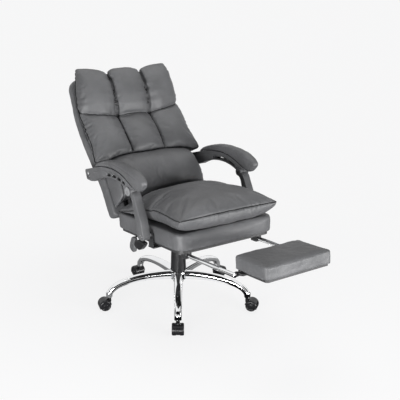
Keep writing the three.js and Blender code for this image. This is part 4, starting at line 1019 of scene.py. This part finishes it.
def back_pad():
    form = sheets(lambda u, v: pad_face(u, v, 0.8), pad_rear, 60, 66)
    piece = make("back_pad_cover", *form, BACK, leather)
    rows = np.linspace(0, 1, 80)
    parts = (("lower", rows[rows <= 0.5]), ("upper", rows[rows >= 0.5]))
    across = np.linspace(-1, 1, 90)
    split = pad_face(across, np.full(90, 0.4999))
    bottom = pad_face(across, np.zeros(90))
    grooves = {(sign, name): pad_face(np.full(len(part), sign * CELL_EDGE), part)
               for sign in (-1, 1) for name, part in parts}
    edges = [pad_face(np.full(80, sign), rows) for sign in (-1.0, 1.0)]
    corners = bottom[0], bottom[-1]

    def pinned(points):
        hold = np.zeros(len(points))
        for corner in corners:
            hold = np.maximum(hold, 1 - smooth(25, 75, np.linalg.norm(points - corner, axis=1)))
        for line in (split, *grooves.values(), *edges):
            hold = np.maximum(hold, 1 - smooth(3, 9, nearest(points, line, 3)[0]))
        forward, up = -points[:, 1], points[:, 2]
        return np.where(forward < shell_front(up) + 9, 1.0, hold)

    def dress(points, normals):
        plain = points
        points = uneven(points, normals, (1.6, 80, 21), (0.5, 28, 22))
        points = seamed(points, normals, split, 8.0, 6.0, 2.6, 26, 24, 1.1)
        for (sign, name), line in grooves.items():
            if name == "upper":
                points = seamed(points, normals, line, 14.0, 8.5, 6.0, 34, 26, 2.0 + sign)
            else:
                points = seamed(points, normals, line, 5.0, 4.0, 1.3, 24, 16, 3.0 + sign)
        for line, seed in zip(edges, (4.1, 5.3)):
            points = seamed(points, normals, line, 2.5, 3.5, 3.8, 22, 30, seed)
        # The lower corners keep close to the CAD's shape, because the arm pads pass near them.
        for corner, seed in zip(corners, (1.7, 3.9)):
            offset = plain - corner
            distance = np.linalg.norm(offset, axis=1)
            points = mix(plain, points, smooth(25, 80, distance)[:, None])
            turn = np.arctan2(offset[:, 2], np.abs(offset[:, 0]) + 1)
            points = fanned(points, normals, distance, (np.sin(11 * turn + seed) - 1.4) * 1.6, 62, 20)
        return seamed(points, normals, bottom, 1.0, 4.0, 0.8, 28, 22, 6.6)

    upholster(piece, BACK, 6, pinned, dress, 18, slack=0.016)
    # Painted shade down the split, the grooves and the edges, and a painted contact shadow along the bottom
    # over the lumbar.
    painted_seam_shade(piece, BACK, (split, 5.0, 0.9), (bottom, 6.0, 0.85), *((line, 4.0, 0.6) for line in edges),
           *((line, 6.0 if name == "upper" else 4.0, 0.95) for (_, name), line in grooves.items()))
    soft(piece, "back", "back_pad")
    # Near-black beads sunk in the split and the grooves, and piping along the edges: painted shade.
    piped("back_pad_split", split[2:-2], piece, BACK, -0.2, 1.6, "back")
    for (sign, name), line in grooves.items():
        side = "left" if sign > 0 else "right"
        piped(f"back_pad_groove_{name}_{side}", line, piece, BACK, -0.2, 1.5, "back")
    for side, line in zip(("right", "left"), edges):
        piped(f"back_pad_piping_{side}", line, piece, BACK, 0.8, 2.4, "back")


# Arms
def arch_under(y):
    return POST_TOP[1] + 24 - np.where(y > 25, 0.0014, 0.00185) * (y - 25) ** 2


def arch_top(y):
    return POST_TOP[1] + 64 - np.where(y > 40, 0.0009, 0.00164) * (y - 40) ** 2


def under_line(start, end, count, rise=0):
    """Points along the arch's underside, or a given height above it."""
    return [(y, float(arch_under(y)) + rise) for y in np.linspace(start, end, count)]


def carve(piece, outline, inner, outer, sign, sharp=40):
    """Cuts an outline out of a side piece between two distances from the chair's middle."""
    boolean(piece, side_plate("cutter", outline, inner, outer, sign, 0.1, grey), sharp=sharp)


def bore(piece, sign, *holes):
    """Drills round holes, each a spot and a radius, right through a side piece."""
    for spot, radius in holes:
        carve(piece, circle(*spot, radius, 20), ARM_INNER - BEYOND, ARM_OUTER + BEYOND, sign)


def arm_arch(side, sign):
    body = f"arm_{side}"
    under = under_line(ARCH_FRONT + 46, ARM_REAR[0] - 62, 30)
    over = [(y, float(arch_top(y))) for y in np.linspace(ARM_PAD_REAR, ARCH_FRONT, 34)]
    ry, rz = ARM_REAR
    heel = rounded([under[-1], (ry - 26, rz - 31), (ry + 14, rz - 31), (ARCH_REAR, rz + 6),
                    (ARCH_REAR - 4, rz + 14), over[0]], 9)[1:-1]
    outline = [*under, *heel, *over, (ARCH_FRONT + 4, POST_TOP[1] + 16)]
    slots = []
    for middle, half in ((-48, 8), (-10, 11), (34, 12), (79, 12)):
        loop = []
        for y, start in ((middle + half, -90), (middle - half, 90)):
            z = float(arch_under(y)) + 13
            turns = np.radians(start + np.linspace(0, 180, 9))
            loop += [(y + 6 * math.cos(t), z + 6 * math.sin(t)) for t in turns]
        slots.append(loop)
    piece = side_plate(f"arm_frame_{side}", outline, ARM_INNER, ARM_OUTER, sign, 2.5, grey, holes=slots)
    channel = under_line(-63, 103, 20, 6) + under_line(103, -63, 20, 20)
    carve(piece, channel, ARM_INNER - BEYOND, ARM_OUTER - 7, sign)
    lug = circle(*POST_TOP, LUG_RADIUS + 1)
    boolean(piece, side_plate("lug", lug, ARM_SPLIT + LUG_GAP, ARM_OUTER, sign, 2, grey), "UNION")
    carve(piece, circle(*POST_TOP, LUG_RADIUS + 1.5), ARM_INNER - BEYOND, ARM_SPLIT + LUG_GAP, sign)
    bore(piece, sign, (POST_TOP, 5.3), (ARM_REAR, 6.5))
    pocket = [(ry - 22, rz - 20), (ry + 9, rz - 20), (ry + 17, rz + 2), (ry - 8, rz + 9), (ry - 24, rz - 2)]
    carve(piece, rounded_loop(pocket, 8), ARM_OUTER - 3, ARM_OUTER + BEYOND, sign, sharp=35)
    placed(piece, body, "grey_plastic", f"arm_arch_{side}")
    along = np.linspace(ARCH_FRONT + 50, ARM_REAR[0] - 60, 50)
    ridge = np.column_stack([np.full(50, sign * (ARM_OUTER - 0.2)), along,
                             mix(arch_under(along), arch_top(along), 0.63)])
    placed(make(f"arm_ridge_{side}", *tube(ridge, 1.5), CHAIR, grey), body, "grey_plastic")
    bolt = disc(f"arm_rear_bolt_{side}", cylinder(8, 3, 1.2), sign, sign * (ARM_OUTER - 4), ARM_REAR,
                bright_steel)
    placed(bolt, body, "steel")


def arm_pad(side, sign):
    count = 66
    # Along the underside: nine knots on the arch, then five under the nose.
    knots = [(y, float(arch_top(y)) + 0.3) for y in np.linspace(ARM_PAD_REAR, ARCH_FRONT, 9)]
    knots += [(ARCH_FRONT - ahead, POST_TOP[1] + rise)
              for ahead, rise in ((13, 16), (26, 11), (40, 13), (54, 21), (64, 32))]
    steps = np.linspace(0, ARM_PAD_END, count)
    low = np.stack([np.interp(steps, np.arange(len(knots)), column) for column in np.array(knots).T], -1)
    low[:, 1] = np.where(steps <= 8, arch_top(low[:, 0]) + 0.3, low[:, 1])
    high = catmull([(ARM_PAD_REAR + along, POST_TOP[1] + rise) for along, rise in (
        (3, 34), (-47, 66), (-156, 97), (-270, 103), (-363, 91), (-416, 65), (-422, 47))], count)
    across, lift = squared(2 * np.pi * (np.arange(36) + 0.5) / 36, 0.6)
    rings = []
    for s, under, over in zip(steps, low, high):
        width = ARM_PAD_HALF * min(0.6 + 0.25 * s, 1, 0.55 + 0.2 * (ARM_PAD_END - s))
        centre, half = (under + over) / 2, (over - under) / 2
        rings.append(np.stack([sign * ARM_SPLIT + width * across,
                               centre[0] + half[0] * lift, centre[1] + half[1] * lift], -1))
    piece = make(f"arm_pad_cover_{side}", *skin(rings), CHAIR, leather)
    remesh(piece, 3.5)
    refine(piece)
    middle = mix(low, high, 0.72)[3:-4]
    seams = [np.column_stack([np.full(len(middle), sign * (ARM_SPLIT + out)), middle]) for out in (23, -23)]

    def dress(points, normals):
        points = uneven(points, normals, (0.6, 40, 31 + sign), (0.3, 14, 33))
        for line in seams:
            points = seamed(points, normals, line, 1.5, 2.6, 0.8, 16, 10, 1.4)
        return points

    reshape(piece, CHAIR, dress)
    soft(piece, f"arm_{side}", f"arm_pad_{side}")


def arm_post(side, sign):
    body = f"post_{side}"
    ty, tz = POST_TOP
    fy, fz = POST_FOOT
    outline = rounded_loop([
        (fy + 38, fz - 2), (fy + 54, fz + 66), (ty - 16, tz - 29), (ty + 6, tz - 15), (ty, tz),
        (ty - 18, tz + 4), (ty - 38, tz - 10), (ty - 47, tz - 30), (fy + 6, fz + 66), (fy - 14, fz),
        (fy - 13, fz - 10), (fy - 4, fz - 18), (fy + 20, fz - 19), (fy + 32, fz - 13)], 12)
    outer = ARM_INNER + POST_THICKNESS
    piece = side_plate(f"arm_post_body_{side}", outline, ARM_INNER, outer, sign, 3.5, grey)
    lug = circle(*POST_TOP, LUG_RADIUS)
    boolean(piece, side_plate("lug", lug, ARM_INNER, ARM_SPLIT - LUG_GAP, sign, 1.5, grey), "UNION")
    carve(piece, circle(*POST_TOP, LUG_RADIUS + 2), ARM_SPLIT - LUG_GAP, ARM_OUTER + BEYOND, sign)
    bore(piece, sign, (POST_TOP, 5.5), (POST_FOOT, 6.5))
    placed(piece, body, "grey_plastic", f"arm_post_{side}")
    pin_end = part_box(f"arm_pivot_pin_{side}")[sign > 0].x / MM
    for name, radius, raised, paint in (("ring", 19, 1.2, pale_grey), ("button", 4.5, 2.6, bright_steel)):
        cap = disc(f"arm_pivot_{name}_{side}", cylinder(radius, raised, 0.8), sign, pin_end, POST_TOP, paint)
        placed(cap, body, "grey_plastic")


# Base
def leg_rings():
    """Rings of a leg that bends over and down to its caster, along a Bezier curve in (out, up)."""
    knots = np.array([(HUB_RADIUS - 10, LEG_ROOT), (STEM_CIRCLE * 0.58, LEG_ROOT + 14),
                      (STEM_CIRCLE, LEG_ROOT - 9), (STEM_CIRCLE, LEG_TIP)], float)
    across, lift = squared(np.arange(28) * 2 * np.pi / 28, 0.8)
    rings = []
    for t in np.linspace(0, 1, 41)[1:]:
        s = 1 - t
        centre = knots.T @ np.array([s ** 3, 3 * s * s * t, 3 * s * t * t, t ** 3])
        slope = (knots[1:] - knots[:-1]).T @ np.array([3 * s * s, 6 * s * t, 3 * t * t])
        along = slope / np.linalg.norm(slope)
        rise = lift * mix(16, 11.5, t)
        rise = np.where(rise < 0, rise * (1 + 0.65 * (1 - t) ** 2), rise)
        rings.append(np.stack([centre[0] - along[1] * rise, mix(20, 15.5, t) * across,
                               centre[1] + along[0] * rise], -1))
    return rings


def leg_place(angle):
    return CHAIR @ Matrix.Rotation(math.radians(angle), 4, "Z")


def stem_place(angle):
    return leg_place(angle) @ Matrix.Translation((STEM_CIRCLE, 0, 0))


def star_base():
    hub = rounded([
        (HUB_BORE, HUB_BOTTOM), (HUB_RADIUS - 3, HUB_BOTTOM), (HUB_RADIUS, HUB_BOTTOM + 4),
        (HUB_RADIUS, HUB_TOP - 9), (HUB_RADIUS - 4, HUB_TOP), (HUB_BORE, HUB_TOP),
        (HUB_BORE, HUB_BOTTOM)], 4)
    top = LEG_TIP + 24
    knuckle = rounded([(0, LEG_TIP), (13.5, LEG_TIP), (14.4, LEG_TIP + 3), (14.4, top - 2), (8, top + 4),
                       (0, top + 6)], 4)
    pieces = [make("star_base_shell", *lathe(hub, 72), CHAIR, chrome)]
    for angle in LEG_ANGLES:
        pieces.append(make("leg", *skin(leg_rings()), leg_place(angle), chrome))
        pieces.append(make("knuckle", *lathe(knuckle, 40), stem_place(angle), chrome))
    placed(joined("star_base_shell", *pieces), "base", "chrome", "star_base")


def casters():
    # The axle's spot and the outlines round it lie in (out, up), and their depth runs along the axle.
    axle_out, axle_up = CASTER_TRAIL, WHEEL_RADIUS
    inner = CASTER_WEB / 2 + 0.5
    outer = inner + WHEEL_WIDTH

    def arc(radius, a, b, count=28):
        turns = np.radians(np.linspace(a, b, count))
        return [(axle_out + radius * math.cos(t), axle_up + radius * math.sin(t)) for t in turns]

    def hood_ring(turn):
        """The hood's arched section, its shoulders drawn in over the wheels, at one angle about the axle."""
        x = np.linspace(-outer, outer, 25)
        shoulder = 1 - np.sqrt(1 - np.clip((np.abs(x) - outer + 5) / 5.2, 0, 1) ** 2)
        radius = np.concatenate([HOOD_RADIUS + 2.5 - 4 * shoulder, (HOOD_RADIUS - 4 * shoulder)[::-1]])
        angle = math.radians(turn)
        return np.column_stack([axle_out + radius * math.cos(angle), axle_up + radius * math.sin(angle),
                                np.concatenate([x, x[::-1]])])

    hood_rings = [hood_ring(t) for t in np.linspace(HOOD_START, HOOD_END, 32)]
    web_outline = arc(HOOD_RADIUS + 1, 14, 166) + arc(9, 166, 374, 16)
    boss_profile = rounded([(5.5, 36), (8.5, 36), (8.5, 58), (5.5, 58), (5.5, 36)], 1.2)
    rim = WHEEL_RADIUS
    wheel_profile = rounded([
        (0, inner + 2), (17, inner + 2), (17, inner), (rim, inner), (rim, outer - 4.5),
        (rim - 1.3, outer - 1.4), (rim - 4.5, outer), (rim - 7.5, outer), (rim - 9, outer - 2.2),
        (8, outer - 1.2), (7, outer), (0, outer)], 1.2)
    axle_profile = [(0, -inner - 2), (3, -inner - 2), (3, inner + 2), (0, inner + 2)]
    for number, angle in enumerate(LEG_ANGLES, 1):
        place = stem_place(angle)
        flat = place @ Matrix(((1, 0, 0, 0), (0, 0, -1, 0), (0, 1, 0, 0), (0, 0, 0, 1)))
        hood = make("hood", *skin(hood_rings), flat, glossy_black)
        web = plate("web", web_outline, -CASTER_WEB / 2, CASTER_WEB / 2, 1.0, flat, glossy_black)
        boss = make("boss", *lathe(boss_profile, 32), place, glossy_black)
        placed(joined(f"caster_hood_{number}", hood, web, boss), f"caster_{number}", "black_plastic",
               f"caster_housing_{number}")
        pair = []
        for sign in (1, -1):
            turn = Matrix.Translation((axle_out, 0, axle_up)) @ Matrix.Rotation(-sign * np.pi / 2, 4, "X")
            pair.append(make("wheel", *lathe(wheel_profile, 56), place @ turn, glossy_black))
        pair.append(make("axle", *lathe(axle_profile, 20), place @ turn, black))
        placed(joined(f"caster_pair_{number}", *pair), f"wheels_{number}", "black_plastic",
               f"caster_wheels_{number}")


def dust_cover():
    low, high, wall = HUB_TOP + 0.3, COVER_TOP, 2
    profile = rounded([(COVER_RADIUS_BOTTOM - wall, low), (COVER_RADIUS_BOTTOM, low),
                       (COVER_RADIUS_BOTTOM, low + 6), (COVER_RADIUS_TOP + 0.6, high - 6),
                       (COVER_RADIUS_TOP, high), (COVER_RADIUS_TOP - wall, high),
                       (COVER_RADIUS_BOTTOM - wall, low)], 1.6)
    cover = make("dust_cover_shell", *lathe(profile, 72), CHAIR, black)
    placed(cover, "base", "black_plastic", "dust_cover")


# Levers and rails
def lever(name, y, outline, width, paint, slot):
    """A wire rod from the mechanism to a paddle, whose outline is given from the rod's own y."""
    outline = softened([(y + ahead, z) for ahead, z in outline], 3)
    rod = np.array([(-x, y, LEVER_ROD_Z) for x in np.linspace(76, LEVER_PADDLE_X + width / 2, 40)])
    wire = make("wire", *tube(rod, LEVER_ROD_RADIUS, 20), SEAT, bright_steel)
    paddle = side_plate("paddle", outline, LEVER_PADDLE_X, LEVER_PADDLE_X + width, -1, 4, paint, SEAT)
    placed(joined(f"{name}_handle", paddle, wire), name, slot, name)


def levers():
    lever("lift_lever", LIFT_LEVER_Y, [
        (26, -1), (10, 5.5), (-20, 5.5), (-48, 1), (-30, -20), (-8, -37), (4, -38), (36, -27), (37, -20)],
        26, black, "black_plastic")
    lever("recline_lever", RECLINE_LEVER_Y, [
        (12, -9), (6, 3), (-6, 7), (-18, 5), (-20, -8), (-15, -24), (-12, -48), (-8, -62), (2, -66),
        (22, -56), (27, -44), (22, -26)], 18, grey, "grey_plastic")


def footrest_rails():
    profile = cylinder(RAIL_RADIUS, RAIL_LENGTH, 3)
    for side, sign in SIDES:
        turn = Matrix.Translation((sign * RAIL_X, RAIL_FRONT, RAIL_Z)) @ Matrix.Rotation(-np.pi / 2, 4, "X")
        tube_piece = make(f"footrest_tube_{side}", *lathe(profile, 48), SEAT @ turn, chrome)
        placed(tube_piece, "footrest_slide", "chrome", f"footrest_rail_{side}")


seat_cushion()
seat_base_pad()
footrest_pad()
back_shell()
lumbar_cushion()
back_pad()
for side, sign in SIDES:
    arm_arch(side, sign)
    arm_pad(side, sign)
    arm_post(side, sign)
star_base()
casters()
dust_cover()
levers()
footrest_rails()


# Carried-over hardware
CARRIED = (
    ("caster_stem", bright_steel, 0.4), ("gas_outer_tube", dark_grey, 0.6), ("piston_rod", bright_steel, 0.3),
    ("gas_cylinder", bright_steel, 0.3), ("mechanism_housing", dark_grey, 2.0), ("seat_board", wrapped, 3.0),
    ("arm_bracket", steel, 1.0), ("arm_foot_bolt", bright_steel, 0.5), ("footrest_guide", black, 1.2),
    ("back_hinge_plate", steel, 0.8), ("back_hinge_pin", bright_steel, 0.5), ("back_bar", steel, 0.8),
    ("arm_rear_stud", bright_steel, 0.4), ("arm_pivot_pin", dark_grey, 0.6), ("footrest_board", wrapped, 2.5),
    ("footrest_pivot_rod", bright_steel, 0.4), ("footrest_ear", black, 0.8),
)
for piece in [o for o in bpy.data.objects if o.type == "MESH"]:
    for prefix, paint, bevel in CARRIED:
        if piece.name.startswith(prefix) and piece.name in frame["nodes"]:
            for slot in piece.material_slots:
                slot.material = paint
            piece.data.shade_smooth()
            piece.data.set_sharp_from_angle(angle=math.radians(35))
            edge = piece.modifiers.new("edge", "BEVEL")
            edge.width = bevel * MM
            edge.segments = 2
            edge.limit_method = "ANGLE"
            edge.angle_limit = math.radians(50)


# Stage, light and camera
BACKGROUND = (0.925, 0.925, 0.928)
FLOOR_NEAR, FLOOR_FAR = 0.8, 1.7
CARD_TURN_START, CARD_TURN_END = COLUMN_Y - 0.14, COLUMN_Y - 0.08


def seen_by_eye_or_metal(tree):
    """1 for camera, glossy and transmission rays."""
    path = tree.add("ShaderNodeLightPath", {})
    value = path["Is Camera Ray"]
    for kind in ("Is Glossy Ray", "Is Transmission Ray"):
        value = tree.add("ShaderNodeMath", {0: value, 1: path[kind]}, operation="MAXIMUM")[0]
    return value


def floor_paint():
    """A pale floor that still takes a shadow near the chair and runs into the backdrop further out."""
    paint = Paint("floor")
    distance = paint.add("ShaderNodeVectorMath", {0: paint.place}, operation="LENGTH")["Value"]
    far = paint.span(distance, FLOOR_NEAR, FLOOR_FAR, 0.8, 1)
    share = paint.add("ShaderNodeMath", {0: seen_by_eye_or_metal(paint), 1: far}, operation="MULTIPLY")[0]
    strength = paint.span(distance, FLOOR_NEAR, FLOOR_FAR, 1.09, 1)
    glow = paint.add("ShaderNodeEmission", {"Color": BACKGROUND, "Strength": strength})[0]
    matt = paint.add("ShaderNodeBsdfDiffuse", {"Color": (0.8, 0.8, 0.81)})[0]
    both = paint.add("ShaderNodeMixShader", {0: share, 1: matt, 2: glow})[0]
    paint.feed(paint.nodes["Material Output"].inputs["Surface"], both)
    return paint.material


floor = make("floor", *lathe([(0, 0), (9, 0)], 96), Matrix.Identity(4), floor_paint())


def only_in_reflections(card):
    card.visible_camera = card.visible_diffuse = card.visible_shadow = card.visible_transmission = False


def card_paint(name, behind=MATT_BLACK):
    """The black of a studio card, which shows only in shiny things and gives metal its dark bands.
    From just in front of the column backwards it has the colour given by behind."""
    paint = Paint(name)
    split = paint.add("ShaderNodeSeparateXYZ", {0: paint.place})
    past = paint.span(split["Y"], CARD_TURN_START, CARD_TURN_END, 0, 1)
    paint.set(Base_Color=paint.blend(past, MATT_BLACK, behind), Roughness=1.0, Specular_IOR_Level=0.0)
    return paint.material


def dark_card(name, middle, width, height):
    outwards = Vector(middle) - Vector((0, COLUMN_Y, middle[2]))
    turn = outwards.to_track_quat("Z", "Y").to_matrix().to_4x4()
    corners = [(a * width / 2, b * height / 2, 0) for a, b in ((-1, -1), (1, -1), (1, 1), (-1, 1))]
    place = Matrix.Translation(middle) @ turn
    only_in_reflections(make(name, corners, [(0, 1, 2, 3)], place, card_paint(name)))


dark_card("card_front", (-1.9, -2.7, 2.2), 6.0, 3.6)
dark_card("card_right", (3.3, -1.4, 2.0), 3.0, 3.2)
only_in_reflections(make(
    "card_floor", *lathe([(0.21, 0), (2.0, 0)], 64), Matrix.Translation((0, COLUMN_Y, 0.004)),
    card_paint("card_floor", (0.4, 0.4, 0.405))))
dark_card("card_left", (-3.3, 1.3, 1.8), 2.6, 2.8)

world_light = bpy.data.worlds.new("studio")
scene.world = world_light
world_light.use_nodes = True
sky = Nodes(world_light.node_tree)
ambient = sky.nodes["Background"]
ambient.inputs["Color"].default_value = (1, 1, 1, 1)
ambient.inputs["Strength"].default_value = 0.31
pale = sky.add("ShaderNodeBackground", {"Color": BACKGROUND, "Strength": 1})[0]
shown = sky.add("ShaderNodeMixShader", {0: seen_by_eye_or_metal(sky), 1: ambient.outputs[0], 2: pale})[0]
sky.feed(sky.nodes["World Output"].inputs["Surface"], shown)


def softbox(name, spot, aim, width, height, power):
    lamp = bpy.data.lights.new(name, "AREA")
    lamp.shape = "RECTANGLE"
    lamp.size, lamp.size_y = width, height
    lamp.energy = power
    holder = bpy.data.objects.new(name, lamp)
    holder.location = spot
    holder.rotation_euler = (Vector(aim) - Vector(spot)).to_track_quat("-Z", "Y").to_euler()
    scene.collection.objects.link(holder)


softbox("key_light", (-2.3, -1.6, 0.3), (0, 0, 0.3), 1.8, 0.6, 108)
softbox("front_light", (1.1, -3.1, 0.4), (0, 0, 0.3), 2.2, 0.8, 118)
softbox("top_light", (0.4, 0.6, 3.2), (0, 0, 0.5), 2.2, 2.2, 30)

lens = bpy.data.cameras.new("camera")
lens.lens, lens.sensor_width = 63.34, 36
lens.shift_x, lens.shift_y = 0.0541, -0.0027
camera = bpy.data.objects.new("camera", lens)
camera.location = (-1.6685, -2.4104, 1.4338)
aim = Vector((0, COLUMN_Y, 0.4945)) - camera.location
camera.rotation_euler = aim.to_track_quat("-Z", "Y").to_euler()
scene.collection.objects.link(camera)
scene.camera = camera
scene.view_settings.view_transform = "Standard"
